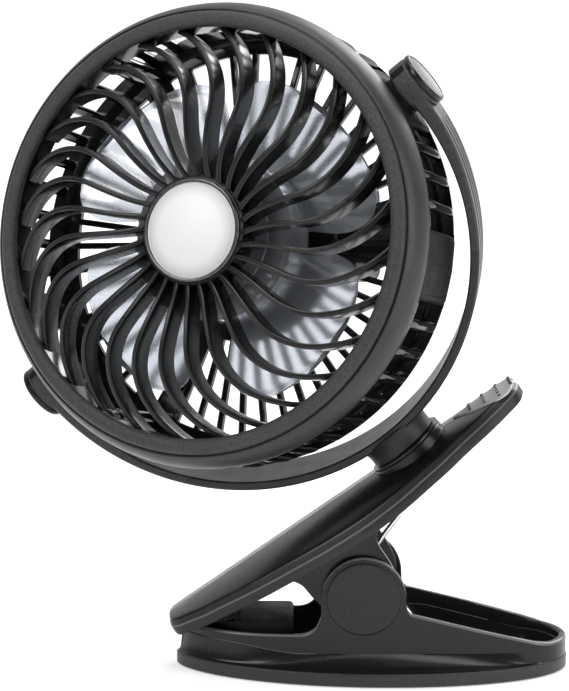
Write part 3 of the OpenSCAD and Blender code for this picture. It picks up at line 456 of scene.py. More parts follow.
# Section of a rib: (sideways, back from its front edge); a fine step runs along one shoulder
RIB_SECTION = [(-0.85, 1.1), (-0.82, 0.72), (-0.66, 0.56), (-0.34, 0.48), (-0.24, 0.4), (-0.2, 0.1),
               (-0.05, 0.0), (0.45, 0.02), (0.72, 0.22), (0.85, 0.7), (0.85, 5.0), (0.72, 8.7), (0.5, 9.0),
               (-0.5, 9.0), (-0.72, 8.7), (-0.85, 5.0)]
rib_rings = []
for i in range(STATIONS + 1):
    r = blend(BADGE_R + 0.5, MOUTH_R + 0.9, (i / STATIONS) ** 1.15)
    d = (rib_point(r + 0.02) - rib_point(r - 0.02)).normalized()
    side = Vector((-d.y, d.x))
    rib_rings.append([(*(rib_point(r) + side * w), rib_front(r) - back) for w, back in RIB_SECTION])
ribs = join("grille_ribs",
            [skin(f"rib_{k}", rib_rings, at_angle(k * 360 / RIBS), sharp=40) for k in range(RIBS)])
settle(ribs, "head", "black_shell", [GLOSS_RIB, RIB_EDGE])
paint(ribs, 1, lambda p, n: n.z > 0.55, HEAD)

RIM_PLANE = moved(HEAD, 0, 0, Z_RIM)
cup = rounded([(0, 0.6), (BADGE_R - 1.4, 0.6), (BADGE_R - 1.4, -5.4, 0.3), (BADGE_R + 0.9, -5.4, 0.5),
               (BADGE_R + 0.9, 3.4, 0.4), (BADGE_R + 0.25, 4.1, 0.2), (BADGE_R, 4.1),
               (BADGE_R, 2.4), (0, 2.4)])
settle(revolve("grille_cup", cup, RIM_PLANE), "head", "black_shell", SMOOTH)
bezel = rounded([(BADGE_R - 1.3, 2.4), (BADGE_R - 0.06, 2.4), (BADGE_R - 0.06, 4.5, 0.2),
                 (BADGE_R - 0.5, 5.0, 0.25), (BADGE_R - 1.3, 4.9, 0.15)])
settle(revolve("badge_bezel", bezel, RIM_PLANE), "head", "bezel_grey", BEZEL, "badge_ring")

DOME_R, DOME_H, DOME_EDGE = 14.85, 2.3, 4.5
ball = (DOME_R ** 2 + DOME_H ** 2) / (2 * DOME_H)
dome = [(0, 2.4), (DOME_R, 2.4), (DOME_R, DOME_EDGE - 0.25)]
for i in range(1, 17):
    r = DOME_R * (1 - (i / 16) ** 1.6)
    dome.append((r, DOME_EDGE + DOME_H - ball + math.sqrt(ball ** 2 - r ** 2) - 0.3 * (r / DOME_R) ** 12))
settle(revolve("badge_dome", dome, RIM_PLANE, sharp=60), "head", "badge_white", DOME_WHITE, "badge_cap")

# Painted shade: the dome's colour darkens towards its edge, up to a paler lip that is a painted highlight
tree = DOME_WHITE.node_tree
dome_middle = (RIM_PLANE @ Vector((0, 0, DOME_EDGE))) * MM
spot = add_node(tree, "TexCoord").outputs["Object"]
from_middle = add_node(tree, "VectorMath", {0: spot, 1: dome_middle}, operation="DISTANCE")
edge_share = remap(tree, from_middle.outputs["Value"], 0.0, 14.9 * MM)
painted_edge_shade = ramp(tree, edge_share, BADGE_COLOUR, (0.60, 0.603, 0.606), 0.70, 0.94)
painted_edge_shade.node.color_ramp.elements.new(0.975).color = (0.84, 0.84, 0.84, 1)
feed(tree, tree.nodes["Principled BSDF"], {"Base Color": painted_edge_shade})

# ---- impeller
Z_HUB, HUB_R, TIP_R, BLADES, WEBS = 12.6, 26.5, 52.0, 4, 12
BLADE_T, BLADE_RISE = 1.5, 12
# Half the angle that a blade takes up, by share of its length
BLADE_REACH = [(0, 37), (0.45, 40), (0.8, 37), (0.93, 32), (1, 24)]


def blade_point(share, c, side):
    """A point of a blade: share along its length, c across it from trailing to leading edge."""
    r = blend(HUB_R - 0.8, TIP_R, share)
    a = math.radians(5 + spline(BLADE_REACH, min(share, 0.9999)) * (2 * c - 1))
    thick = BLADE_T / 2 * (0.25 + 0.75 * math.sin(math.pi * min(max(c, 0.02), 0.98)) ** 0.6)
    thick *= 1 - 0.55 * smooth((share - 0.9) / 0.1)
    z = Z_HUB - 8.1 + BLADE_RISE * (c - 0.5) * (1.15 - 0.4 * r / TIP_R)
    return r * math.cos(a), r * math.sin(a), z + side * thick


def blade(name, place, across=26, along=18):
    rings = []
    for i in range(along + 1):
        share = math.sin(math.pi / 2 * i / along)
        ring = [blade_point(share, k / across, 1) for k in range(across + 1)]
        ring += [blade_point(share, k / across, -1) for k in range(across, -1, -1)]
        rings.append(ring)
    return skin(name, rings, place, sharp=50)


blades = join("impeller_blades", [blade(f"blade_{k}", at_angle(k * 360 / BLADES)) for k in range(BLADES)])
settle(blades, "fan", "blade_clear", BLADE, "impeller")
hub = rounded([(1.02, -3), (3.6, -3, 0.3), (3.6, -1.6), (24.9, -1.6), (24.9, -15, 0.3), (26.5, -15, 0.3),
               (26.5, -1.1, 0.9), (25.4, 0, 0.9), (20.4, 0, 0.1), (20.1, -0.35, 0.1), (19.3, -0.35, 0.1),
               (19.0, 0, 0.1), (8.4, 0, 0.2), (8.0, -0.5, 0.2), (0, -0.5), (0, -0.9), (1.02, -0.9)])
hub_parts = [revolve("hub_cup", hub, moved(HEAD, 0, 0, Z_HUB))]
for k in range(WEBS):
    web_place = at_angle(k * 360 / WEBS + 8)
    hub_parts.append(slab(f"web_{k}", 4, 24.6, -0.4, 0.4, Z_HUB - 4.6, Z_HUB - 1.5, web_place))
settle(join("impeller_hub", hub_parts), "fan", "blade_clear", HUB)

# ---- rear cage
OUTER_WALL = [(-16.9, 66.5), (-16.0, 69.0), (-14.4, 70.3), (-11.0, 71.0), (-7.9, 71.3), (0, 71.55),
              (5.1, 71.6), (9.8, 71.3), (13.1, 71.3)]
INNER_WALL = [(-16.9, 64.0), (-14.5, 66.0), (-12.4, 67.2), (-6.5, 68.6), (7.1, 68.9), (13.1, 68.3)]
CLOSED_SIDE = ((0, 8), (180, 8), (315, 7))  # middle and reach in degrees of the closed stretches
CLOSED_BACK = ((85, 5), (205, 5), (325, 12))


def wall_r(z, inside=False):
    """Radius of the cage's side wall."""
    return spline(INNER_WALL if inside else OUTER_WALL, z)


def near(a, b):
    """Degrees between two directions."""
    return abs((a - b + 540) % 360 - 180)


def side_strip(name, half, low, high, place, inset=0.0, edge=0.8, bulge=0.4):
    """A bar of the cage's side, from z low to z high."""
    rings = []
    for i in range(13):
        z = blend(low, high, i / 12)
        out, inn = wall_r(z) - inset, wall_r(z, True) + inset
        lift = bulge * math.sin(math.pi * i / 12) ** 0.5
        shoulder = out - edge * 0.4 + lift * 0.5
        rings.append([(out - edge, -half, z), (shoulder, -half * 0.8, z), (out + lift, -half * 0.35, z),
                      (out + lift, half * 0.35, z), (shoulder, half * 0.8, z), (out - edge, half, z),
                      (inn + edge, half, z), (inn, half - edge, z), (inn, edge - half, z),
                      (inn + edge, -half, z)])
    return skin(name, rings, place)


def back_strip(name, half_in, half_out, place):
    """A bar of the cage's back, from the disc to the corner."""
    rings, e = [], 0.4
    for i in range(9):
        r, w = blend(31.0, 62.0, i / 8), blend(half_in, half_out, i / 8)
        rings.append([(r, -w, Z_BACK + e), (r, -w + e, Z_BACK), (r, w - e, Z_BACK), (r, w, Z_BACK + e),
                      (r, w, Z_PLATE - e), (r, w - e, Z_PLATE), (r, -w + e, Z_PLATE), (r, -w, Z_PLATE - e)])
    return skin(name, rings, place)


neck = [(wall_r(z), z) for z in (9.4, 10.4, 11.6, 12.6)]
neck += [(71.3, 13.05), (70.3, 13.1), (70.3, 16.4), (68.3, 16.4), (68.3, 13.1)]
neck += [(wall_r(z, True), z) for z in (12.0, 10.6, 9.4)]
corner = [(wall_r(z), z) for z in (-12.2, -13.4, -14.6, -15.6)] + arc(66.6, -14.4, 2.5, 2.5, -25, -90, 6)
corner += [(61.8, Z_BACK), (61.4, Z_BACK + 0.4), (61.4, Z_PLATE - 0.3), (61.8, Z_PLATE), (64.6, Z_PLATE),
           (66.6, -12.6), (67.2, -12.2)]
disc = rounded([(0, Z_BACK), (12.0, Z_BACK, 0.2), (12.4, Z_BACK - 0.3, 0.2), (29.4, Z_BACK - 0.3, 0.8),
                (31.4, Z_BACK + 0.4, 0.3), (31.4, Z_PLATE, 0.3), (0, Z_PLATE)])
cage_parts = [revolve("neck", neck, HEAD, 192), revolve("corner", corner, HEAD, 192),
              revolve("disc", disc, HEAD)]
for k in range(BARS):
    middle = (k + 0.5) * PITCH
    cage_parts.append(side_strip(f"side_{k}", 1.6, -13.2, 10.0, at_angle(k * PITCH)))
    cage_parts.append(back_strip(f"back_{k}", 1.0, 1.0, at_angle(k * PITCH)))
    if any(near(middle, a) < reach for a, reach in CLOSED_SIDE):
        cage_parts.append(side_strip(f"panel_{k}", 4.75, -13.2, 12.9, at_angle(middle), -0.12, 0.05, 0.0))
    if any(near(middle, a) < reach for a, reach in CLOSED_BACK):
        cage_parts.append(back_strip(f"fill_{k}", 1.3, 3.3, at_angle(middle)))
for a in POSTS:
    cage_parts.append(rod(f"post_{a}", 3.3, Z_BACK + 0.3, Z_STEP + 2, at_post(a), 0.3, 40, 2.3))
for a in (0, 180):
    cage_parts.append(rod(f"pad_{a}", 6.5, HEAD_R - 6, 72.6, at_angle(a) @ SIDE, 0.3, 48, 1.5))
motor_cup = rounded([(12.05, Z_PLATE), (14.4, Z_PLATE, 0.4), (14.4, -5.0, 0.3), (12.05, -5.0, 0.2)])
cage_parts.append(revolve("motor_cup", motor_cup, HEAD, 96))
cage = join("rear_cage", cage_parts)
settle(cage, "head", "black_gloss", [GLOSS, PANEL], "rear_housing")


def on_closed_side(p, n):
    angle = math.degrees(math.atan2(p.y, p.x))
    return p.xy.length > 69.5 and any(near(angle, a) < 9 for a, reach in CLOSED_SIDE)


paint(cage, 1, on_closed_side, HEAD)

# ---- battery pod
Z_LID, Z_POD = -36.0, -37.6
POD_X, POD_Y0, POD_Y1, POD_CORNER = 36.5, -11.35, 20.35, 4.2
BAY_MID, SEAM = 14.75, 10.25
CELL_X, CELL_Y = 34.7, 9.55
BUTTON_X, LENS_X, SCREW_X = -10, -1, 32.5
USB_X, USB_Z = 13.8, -32.5
POD_OUTLINE = rounded([(x, y, POD_CORNER) for x, y in ((-POD_X, POD_Y0), (POD_X, POD_Y0), (POD_X, POD_Y1),
                                                       (-POD_X, POD_Y1))], 6)

pod = prism("pod_body", POD_OUTLINE, Z_LID, Z_BACK + 0.5, POD)
boolean(pod, [slab("cell_room", -CELL_X, CELL_X, -CELL_Y, CELL_Y, Z_LID - 2, Z_BACK - 0.2, POD),
              slab("control_bay", -29, 29, 10.95, 18.55, Z_LID - 2, -25, POD),
              slab("usb_cut", 9.7, 17.9, 18, 22, -34.2, -30.8, POD)])
settle(bevelled(pod, 0.3, 2), "head", "black_gloss", SATIN)


def half_lid(name, y0, y1, high):
    """The pod's outline between two lines of y, as a lid with a rounded outer edge."""
    outline = [(x, min(max(y, y0), y1)) for x, y in POD_OUTLINE]
    return bevelled(prism(name, outline, Z_POD, high, POD), 0.45, 3, 50)


def on_bay(x, z=0):
    return moved(POD, x, BAY_MID, z)


cover = half_lid("control_cover_lid", SEAM + 0.1, POD_Y1, Z_LID)
holes = [rod("hole_button", 3.05, Z_POD - 2, Z_LID + 2, on_bay(BUTTON_X), 0, 48),
         rod("hole_lens", 1.55, Z_POD - 2, Z_LID + 2, on_bay(LENS_X), 0, 32)]
for x in (-SCREW_X, SCREW_X):
    holes.append(rod(f"sink_{x}", 2.1, Z_POD - 2, Z_POD + 0.8, on_bay(x), 0, 40))
settle(boolean(cover, holes), "head", "black_shell", SATIN, "control_cover")

door_parts = [half_lid("door_panel", POD_Y0, SEAM - 0.1, Z_LID - 0.02)]
for k in range(5):
    x = 20 + 2.4 * k
    door_parts.append(slab(f"ridge_{k}", x, x + 1, -5, 5, Z_POD - 0.5, Z_POD + 0.2, POD, 0.25, 2))
for s in (-1, 1):
    for x in (-10, 16):
        for kind, reach, low in (("hook", -0.3, -0.2), ("lip", 0.5, 0.9)):
            ys = sorted((s * (CELL_Y - 1.2), s * (CELL_Y + reach)))
            door_parts.append(slab(f"{kind}_{s}_{x}", x, x + 4, *ys, Z_LID + low, Z_LID + 1.6, POD, 0.1, 1))
settle(join("battery_door_panel", door_parts), "door", "black_shell", SATIN, "battery_door")

cap = rounded([(0, Z_POD - 0.8), (2.2, Z_POD - 0.86, 0.2), (2.75, Z_POD - 1.0, 0.2), (2.9, Z_POD - 0.7, 0.1),
               (2.9, Z_LID + 0.1), (3.55, Z_LID + 0.1, 0.1), (3.55, Z_LID + 0.8, 0.1), (1.2, Z_LID + 0.8),
               (1.2, Z_LID + 1.9, 0.1), (0, Z_LID + 1.9)], 2)
settle(revolve("button_cap", cap, on_bay(BUTTON_X), 64), "button", "button_grey", BUTTON, "power_button")
lens = rounded([(0, Z_POD - 0.25), (1.1, Z_POD - 0.2, 0.2), (1.5, Z_POD + 0.1, 0.3), (1.5, Z_LID + 3.6, 0.1),
                (0, Z_LID + 3.6)])
light_guide = revolve("indicator_light_guide", lens, on_bay(LENS_X), 40)
settle(light_guide, "head", "lens_clear", LENS, "indicator_lens")


def usb_ring(shrink, y):
    w, h = 3.8 - shrink, 1.4 - shrink
    corners = [(-w, -h, 0.9), (w, -h, 0.9), (w, h, 0.9), (-w, h, 0.9)]
    return [(USB_X + x, y, USB_Z + z) for x, z in rounded(corners, 4)]


USB_STEPS = ((0, 14.45), (0, 20.0), (0.12, 20.05), (0.36, 19.9), (0.4, 15.2))  # (shrink, y) of each ring
usb_rings = [usb_ring(shrink, y) for shrink, y in USB_STEPS]
tongue = slab("usb_tongue", 11.6, 16.0, 15.1, 18.9, -32.9, -32.3, POD, 0.1, 1)
usb = join("usb_inlet", [skin("usb_shell", usb_rings, POD), tongue])
settle(usb, "head", "steel", STEEL, "usb_port")


def screw(name, r, height, place):
    """A pan-head screw seen from its -Z side, with a cross recess."""
    bend = height * 0.6
    profile = [(0, -height), *arc(r - bend, bend - height, bend, bend, -90, 0, 5), (r, 0), (0, 0)]
    head = revolve(name, profile, place, 40)
    size = (-r * 0.55, r * 0.55, -r * 0.13, r * 0.13, -height - 1, -height * 0.35)
    return boolean(head, [slab(f"slot_{name}_{a}", *size, place @ turn("Z", a)) for a in (20, 110)])


heads = [screw(f"cover_head_{x}", 1.9, 0.95, on_bay(x, Z_POD + 0.8)) for x in (-SCREW_X, SCREW_X)]
heads += [screw(f"post_head_{a}", 2.1, 1.4, at_post(a, 2.4)) for a in POSTS]
settle(join("screw_heads", heads), "head", "steel", STEEL)

# ---- yoke
YOKE_R, YOKE_T, YOKE_DROP, YOKE_W = 74.7, 2.9, 3.1, 20.6
GROOVES = ((-4.65, 0.75), (0, 0.6), (4.65, 0.75))  # middle and half width of the band's grooves
GROOVE_WALL, GROOVE_DEPTH = 0.3, 1.1


def yoke_ring(angle):
    """The band's section at an angle about the ring's centre; -90 is at the stem."""
    bend = smooth((abs(angle + 90) - 62) / 26)  # 0 along the band, 1 at the bosses
    r0, r1, h = YOKE_R - 0.5 * bend, YOKE_R + YOKE_T + 0.9 * bend, YOKE_W / 2 - 1.95 * bend
    depth = GROOVE_DEPTH * (1 - smooth((abs(angle + 90) - 80) / 3))
    section = [(r0, -h + 0.5), (r0 + 0.5, -h), (r1 - 0.6, -h), (r1, -h + 0.6)]
    for middle, half in GROOVES:
        for edge, low in ((-half, 0), (GROOVE_WALL - half, 1), (half - GROOVE_WALL, 1), (half, 0)):
            section.append((r1 - depth * low + 0.10 * (1 - abs(middle + edge) / h), middle + edge))
    section += [(r1, h - 0.6), (r1 - 0.6, h), (r0 + 0.5, h), (r0, h - 0.5)]
    a = math.radians(angle)
    return [(r * math.cos(a), w, r * math.sin(a) - YOKE_DROP) for r, w in section]


end = math.degrees(math.asin(YOKE_DROP / (YOKE_R + YOKE_T)))
band_rings = [yoke_ring(blend(-180 - end + 1.5, end - 1.5, i / 150)) for i in range(151)]
BOSS_R, BOSS_IN, BOSS_OUT, KNOB_OUT = 8.75, 73.6, 79.6, 81.6  # radius, and distances from the head's middle
boss = rounded([(1.56, BOSS_IN), (BOSS_R, BOSS_IN, 0.5), (BOSS_R, BOSS_OUT - 0.45, 0.3),
                (BOSS_R - 0.45, BOSS_OUT, 0.2), (3.4, BOSS_OUT, 0.2), (3.4, BOSS_IN + 3),
                (1.56, BOSS_IN + 3)])
knob = rounded([(0, BOSS_OUT + 0.02), (8.5, BOSS_OUT + 0.02, 0.1), (8.5, BOSS_OUT + 0.35, 0.1),
                (BOSS_R, BOSS_OUT + 0.4, 0.1), (BOSS_R, KNOB_OUT - 0.55, 0.35), (BOSS_R - 0.6, KNOB_OUT, 0.2),
                (BOSS_R - 1, KNOB_OUT, 0.1), (BOSS_R - 1.15, KNOB_OUT - 0.22, 0.2), (0, KNOB_OUT - 0.3)])
yoke_parts, knobs = [skin("yoke_band_sweep", band_rings, YOKE)], []
for s in (0, 180):
    knob_line = YOKE @ turn("Z", s) @ SIDE
    yoke_parts.append(revolve(f"boss_{s}", boss, knob_line, 96))
    knobs.append(revolve(f"cap_{s}", knob, knob_line, 96))
    knobs.append(rod(f"plug_{s}", 3.35, 78.6, 79.7, knob_line, 0.1, 32))
STEM_R, STEM_FOOT, COLLAR_TOP = 11.4, -86.0, -87.0
stem = [(2.0, STEM_FOOT), (STEM_R - 0.35, STEM_FOOT), (STEM_R, STEM_FOOT + 0.35), (STEM_R, STEM_FOOT + 2.2)]
stem += [(STEM_R + 0.9 * (i / 6) ** 2.2, STEM_FOOT + 2.2 + 4.5 * i / 6) for i in range(1, 7)]
yoke_parts.append(revolve("stem_boss", stem + [(2.0, -79.0)], YOKE, 96))
yoke = settle(join("yoke_band", yoke_parts), "yoke", "black_shell", [SATIN, SAND, RUBBER], "yoke")


def on_boss_or_side(p, n):
    return p.z > -50 and abs(n.y) > 0.7 or abs(p.x) > 74.5 and abs(p.z) < 9


def in_groove(p, n):
    return abs(p.y) < 6 and YOKE_R + 1 < math.hypot(p.x, p.z + YOKE_DROP) < YOKE_R + YOKE_T - 0.35


paint(yoke, 1, on_boss_or_side, YOKE)
paint(yoke, 2, in_groove, YOKE)
settle(join("knob_covers", knobs), "yoke", "black_shell", SMOOTH, "knob_caps")
ring = rounded([(2.3, COLLAR_TOP), (12.9, COLLAR_TOP, 0.3), (12.9, STEM_FOOT, 0.3), (2.3, STEM_FOOT)])
settle(revolve("friction_ring", ring, STEM, 96), "arm", "bezel_grey", SMOOTH, "collar_ring")
settle(screw("swivel_screw_head", 3.7, 2.5, moved(YOKE, 0, 0, -94.0)), "yoke", "steel", STEEL)

# ---- upper arm
ARM_TIP, ARM_LEN, ARM_W, CROWN, CROSS_R = -57.5, 135.3, 24.7, 28.0, 56.0
ARM_PLAN = [(0, 0), (0.004, 0.3), (0.018, 0.43), (0.038, 0.5), (0.066, 0.57), (0.092, 0.63), (0.12, 0.67),
            (0.17, 0.74), (0.23, 0.82), (0.31, 0.89), (0.36, 0.93), (0.42, 0.97), (0.47, 0.99), (0.53, 1),
            (0.58, 0.985), (0.64, 0.945), (0.7, 0.875), (0.76, 0.8), (0.82, 0.69), (0.88, 0.59),
            (0.915, 0.515), (0.946, 0.43), (0.977, 0.32), (0.991, 0.21), (1, 0)]


def plan_loop(plan, start, length, half_width, samples):
    """Points round a symmetrical plan outline; the plan gives its half width by share of its length."""
    ts = [(1 - math.cos(math.pi * i / samples)) / 2 for i in range(samples + 1)]
    points = [(start + length * t, half_width * max(0.0, spline(plan, min(t, 0.99999)))) for t in ts]
    return [(x, -y) for x, y in points] + points[-2:0:-1]


def inset_loop(loop, amount, low, high):
    """Moves each point of a plan outline inwards, towards the line from (low, 0) to (high, 0)."""
    out = []
    for x, y in loop:
        inward = Vector((min(max(x, low), high) - x, -y))
        length = inward.length
        out.append(tuple(Vector((x, y)) + inward * min(amount / length, 1.0)) if length > 1e-6 else (x, y))
    return out


ARM_LOOP = plan_loop(ARM_PLAN, ARM_TIP, ARM_LEN, ARM_W, 72)
ARM_LINE = (ARM_TIP + 13, 62)  # the outline shrinks towards this stretch of its middle line


def arm_crown(y):
    """Height of the arm's crowned top at y."""
    return CROWN - CROSS_R + math.sqrt(CROSS_R ** 2 - y * y)


def arm_shell(name, steps, lift, sharp):
    """A surface of the arm: rings given by (inset, drop), then closed over the middle along the crown."""
    rings = [[(u, y, arm_crown(y) - drop) for u, y in inset_loop(ARM_LOOP, inset, *ARM_LINE)]
             for inset, drop in steps]
    for share in (0.10, 0.25, 0.45, 0.7, 0.999):
        ring_points = []
        for u, y in inset_loop(ARM_LOOP, steps[-1][0], *ARM_LINE):
            u, y = blend(u, min(max(u, ARM_LINE[0]), ARM_LINE[1]), share), blend(y, 0.0, share)
            ring_points.append((u, y, arm_crown(y) + lift))
        rings.append(ring_points)
    return skin(name, rings, ARM, caps=False, sharp=sharp)


OUTER_STEPS = ((2.0, 5.4), (1.75, 5.6), (0.4, 5.6), (0.1, 5.35), (0.0, 5.0), (0.0, 2.35), (0.08, 2.1),
               (0.24, 1.9), (0.38, 1.6), (1.0, 0.5), (1.2, 0.2), (1.5, 0.05), (2.1, 0.0))
INNER_STEPS = ((2.0, 5.4), (2.05, 4.2), (2.3, 2.4), (2.9, 2.05))
EAR_OUT, EAR_IN, EAR_T = 16.0, 13.4, 2.6
ear = rounded([(-24.5, 5.6, 1), (-21.5, 4.8, 2), (-19.2, 3.6, 2), (-15.3, -1.2, 3), (-11.8, -4.8, 3),
               (-6, -10.2, 4), (6, -10.2, 4), (11.6, 1, 3), (11.4, 5, 2), (8.5, 11.1, 3), (4.9, 16.2, 3),
               (3.6, 19.4, 2), (4.6, 21.8, 3), (11.6, 27.8, 1), (5, 38, 1), (-29, 15, 1)], 4)
under_crown = [(CROSS_R - 1.6, -90), (CROSS_R - 1.6, 120), (0, 120), (0, -90)]
arm_parts = [arm_shell("arm_outer", OUTER_STEPS, 0.0, 30), arm_shell("arm_inner", INNER_STEPS, -2.0, 45)]
for y in (-EAR_OUT, EAR_IN):
    ear_plate = plate(f"ear_{y}", ear, y, y + EAR_T, HINGE_FRAME)
    limit = revolve("limit", under_crown, moved(ARM, 0, 0, CROWN - CROSS_R) @ SIDE, 160)
    boolean(ear_plate, [limit], "INTERSECT")
    boolean(ear_plate, [rod("bore", 2.06, -20, 20, HINGE_FRAME @ turn("X", 90), 0, 48)])
    arm_parts.append(bevelled(ear_plate, 0.4, 3, 40))
for s in (-90, 90):
    arm_parts.append(rod(f"sleeve_{s}", 4.15, 8, EAR_IN + 0.1, HINGE_FRAME @ turn("X", s), 0.2, 40, 2.06))
PAD_X0, JAW_X1, PAD_X1, PAD_TOP0, PAD_TOP1 = -56.0, -42.2, -25.0, 14.8, 17.0
UPPER_PAD_T = 3.3
jaw_rib = [(PAD_X0 + 1, PAD_TOP0 + UPPER_PAD_T), (JAW_X1 - 1, PAD_TOP1 + UPPER_PAD_T),
           (JAW_X1 - 1, 27.0), (PAD_X0 + 1, 19.4)]
for y in (-9, 0, 9):
    arm_parts.append(plate(f"jaw_rib_{y}", jaw_rib, y - 1, y + 1, WORLD, 0.2, 1))
arm_parts.append(slab("leg_rest", 27.0, 30.8, -10.8, -4.8, 16.75, 26.3, ARM, 0.4, 2))
collar_place = moved(STEM, 0, 0, COLLAR_TOP)
collar = rounded([(2.1, 0), (12.7, 0, 0.2), (13.0, -0.35, 0.3), (13.0, -2.4, 0.8), (13.3, -4.6, 0.9),
                  (14.4, -6.4), (2.1, -6.4)], 4)
arm_parts.append(revolve("arm_collar", collar, collar_place, 96))
arm_parts.append(rod("screw_boss", 6.4, -6.1, -4.5, collar_place, 0.3, 48, 2.06))
arm = settle(join("arm_shell", arm_parts), "arm", "black_shell", [SMOOTH, SATIN, PAINTED_EDGE_HIGHLIGHT], "upper_arm")


def below_crown(p):
    return arm_crown(min(abs(p.y), 50)) - p.z


# Painted highlight: the narrow bevel between crown and skirt takes the pale edge colour
def on_arm_highlight_line(p, n):
    return abs(p.y) < 26 and 1.95 < below_crown(p) < 2.3 and n.z > 0.02 and p.x > ARM_TIP + 0.5


paint(arm, 1, lambda p, n: 0.9 < below_crown(p) < 7, ARM)
paint(arm, 2, on_arm_highlight_line, ARM)

# Grip pad: cross ridges, with small dimples along each, coloured near black as painted shade
GRIP_AT, GRIP_LEN, GRIP_W, GRIP_MID = 54.5, 23, 10.3, 68.5
RIDGE_H, RIDGE_AT, RIDGE_PITCH = 0.28, 60.8, 5.15
GRIP_PLAN = [(0, 0), (0.11, 0.24), (0.26, 0.54), (0.42, 0.73), (0.57, 0.88), (0.72, 0.99), (0.85, 0.93),
             (0.94, 0.62), (1, 0)]
GRIP_LOOP = plan_loop(GRIP_PLAN, GRIP_AT, GRIP_LEN, GRIP_W, 40)


def pad_ring(share, lift):
    """A ring of the grip pad's outline, scaled towards its middle."""
    points = []
    for u, y in GRIP_LOOP:
        u, y = blend(GRIP_MID, u, share), y * share
        ridge = 0.5 + 0.5 * math.cos(2 * math.pi * (u - RIDGE_AT) / RIDGE_PITCH)
        points.append((u, y, arm_crown(y) + lift + RIDGE_H * ridge ** 1.5 * smooth((1 - share) * 8)))
    return points


pad_rings = [pad_ring(1.0, -0.3), pad_ring(1.0, 0.2), pad_ring(0.98, 0.4)]
pad_rings += [pad_ring(s / 30, 0.42) for s in range(29, 0, -1)]
settle(skin("grip_surface", pad_rings, ARM, sharp=50), "arm", "grip_grey", GRIP_GREY, "grip_pad")
dimple = [(0, 0.2), (0.55, 0.2), (0.55, 0.76), (0.42, 0.86), (0.2, 0.88), (0, 0.84)]
dots = []
for u in (60.8, 65.95, 71.1, 76.0):
    span = GRIP_W * spline(GRIP_PLAN, (u - GRIP_AT) / GRIP_LEN) - 1.5
    for share in (-1, -0.68, -0.34, 0, 0.34, 0.68, 1):
        y = span * share
        place = moved(ARM, u, y, arm_crown(y)) @ turn("X", -math.degrees(math.asin(y / CROSS_R)))
        dots.append(revolve(f"dot_{u}_{share}", dimple, place, 16))
# Painted shade: the dimples take the near-black material
settle(join("grip_dimple_shade", dots), "arm", "grip_grey", SMOOTH)

# ---- lower arm
BASE_X, BASE_W, TUB_W, TUB_WALL, FLOOR, FLANGE = 62.8, 28.8, 18.5, 2.2, 2.6, 4.0
BASE_EAR_R = 13.4
TUB_X0, TUB_X1 = -61.0, 62.6
BASE_LINE = (-50, 50)  # the base's outline shrinks towards this stretch of its middle line
JAW_RIM = [(-70, 14.2), (-23.1, 14.2), (-21.5, 14.45), (-20.1, 15.0), (-18.8, 15.9), (-17.9, 17.0),
           (-17.1, 18.7), (-16.5, 20.5), (-15.9, 22.3)]
GRIP_RIM = [(10.25, 24.0), (10.8, 22.0), (12.0, 20.8), (14.7, 20.2), (51.4, 11.2), (56.0, 10.2), (70, 10.0)]


def base_width(x):
    t = (5 - x) / (5 + BASE_X) if x < 5 else (x - 5) / (BASE_X - 5)
    return BASE_W * max(1 - t * t, 0) ** (0.62 if x < 5 else 0.45)


def tub_top(x):
    """Height of the tub's rim, with the round ears that hold the hinge pin."""
    off = abs(x - HINGE.x)
    ear_top = HINGE.z + math.sqrt(BASE_EAR_R ** 2 - off ** 2) if off < BASE_EAR_R else 0.0
    return max(straight(JAW_RIM if x < HINGE.x else GRIP_RIM, x), ear_top)


XS = {round(-BASE_X * math.cos(math.pi * i / 64), 4) for i in range(65)}
XS |= {round(HINGE.x + BASE_EAR_R * math.sin(math.radians(a)), 4) for a in range(-90, 91, 4)}
XS |= {x for x, z in JAW_RIM[1:]} | {-16.8, 10.35, 10.5, 10.8, 11.4, 12.0, 13.3, 14.7}
XS = sorted(XS)
BASE_LOOP = [(x, -base_width(x)) for x in XS] + [(x, base_width(x)) for x in XS[-2:0:-1]]


def base_inset(amount):
    return inset_loop(BASE_LOOP, amount, *BASE_LINE)


def soft_min(a, b, k):
    """The smaller of two numbers, with a soft change from one to the other."""
    return min(a, b) - max(k - abs(a - b), 0.0) ** 2 / (4 * k)


def tub_loop(shrink):
    """The tub's outline, set in by shrink. At the grips' end its wall comes flush with the flange."""
    out = []
    start, stop = TUB_X0 + shrink, TUB_X1 - shrink
    for x, y in BASE_LOOP:
        tx = x
        if x < -26:
            tx = blend(-26, start, (x + 26) / (26 - BASE_X))
        elif x > 20:
            tx = blend(20, stop, (x - 20) / (BASE_X - 20))
        inset = blend(2.0, 0.2, smooth((x - 40) / 14))
        width = max(soft_min(TUB_W, max(base_width(x) - inset, 0.0), 7.0), 0.0) - shrink
        out.append((tx, math.copysign(max(width, 0.0), y)))
    return out


def band_loop(shrink):
    """The tub's outline above the hollow slope: set in a little on the jaws' side of the ears."""
    pairs = zip(tub_loop(shrink), tub_loop(shrink + 0.35))
    return [tuple(blend(p, q, smooth((-17 - a[0]) / 5)) for p, q in zip(a, b)) for a, b in pairs]


def slope_top(x):
    """Height at which the hollow slope meets the tub's wall."""
    return FLANGE + 0.45 + min(blend(3.6, 6.6, smooth((-22 - x) / 26)), tub_top(x) - 6.2)


def ledge(x):
    """Height of the ledge inside the tub."""
    return max(min(tub_top(x) - 4.4, 15.2), 7.6) if x > 9 else 7.0


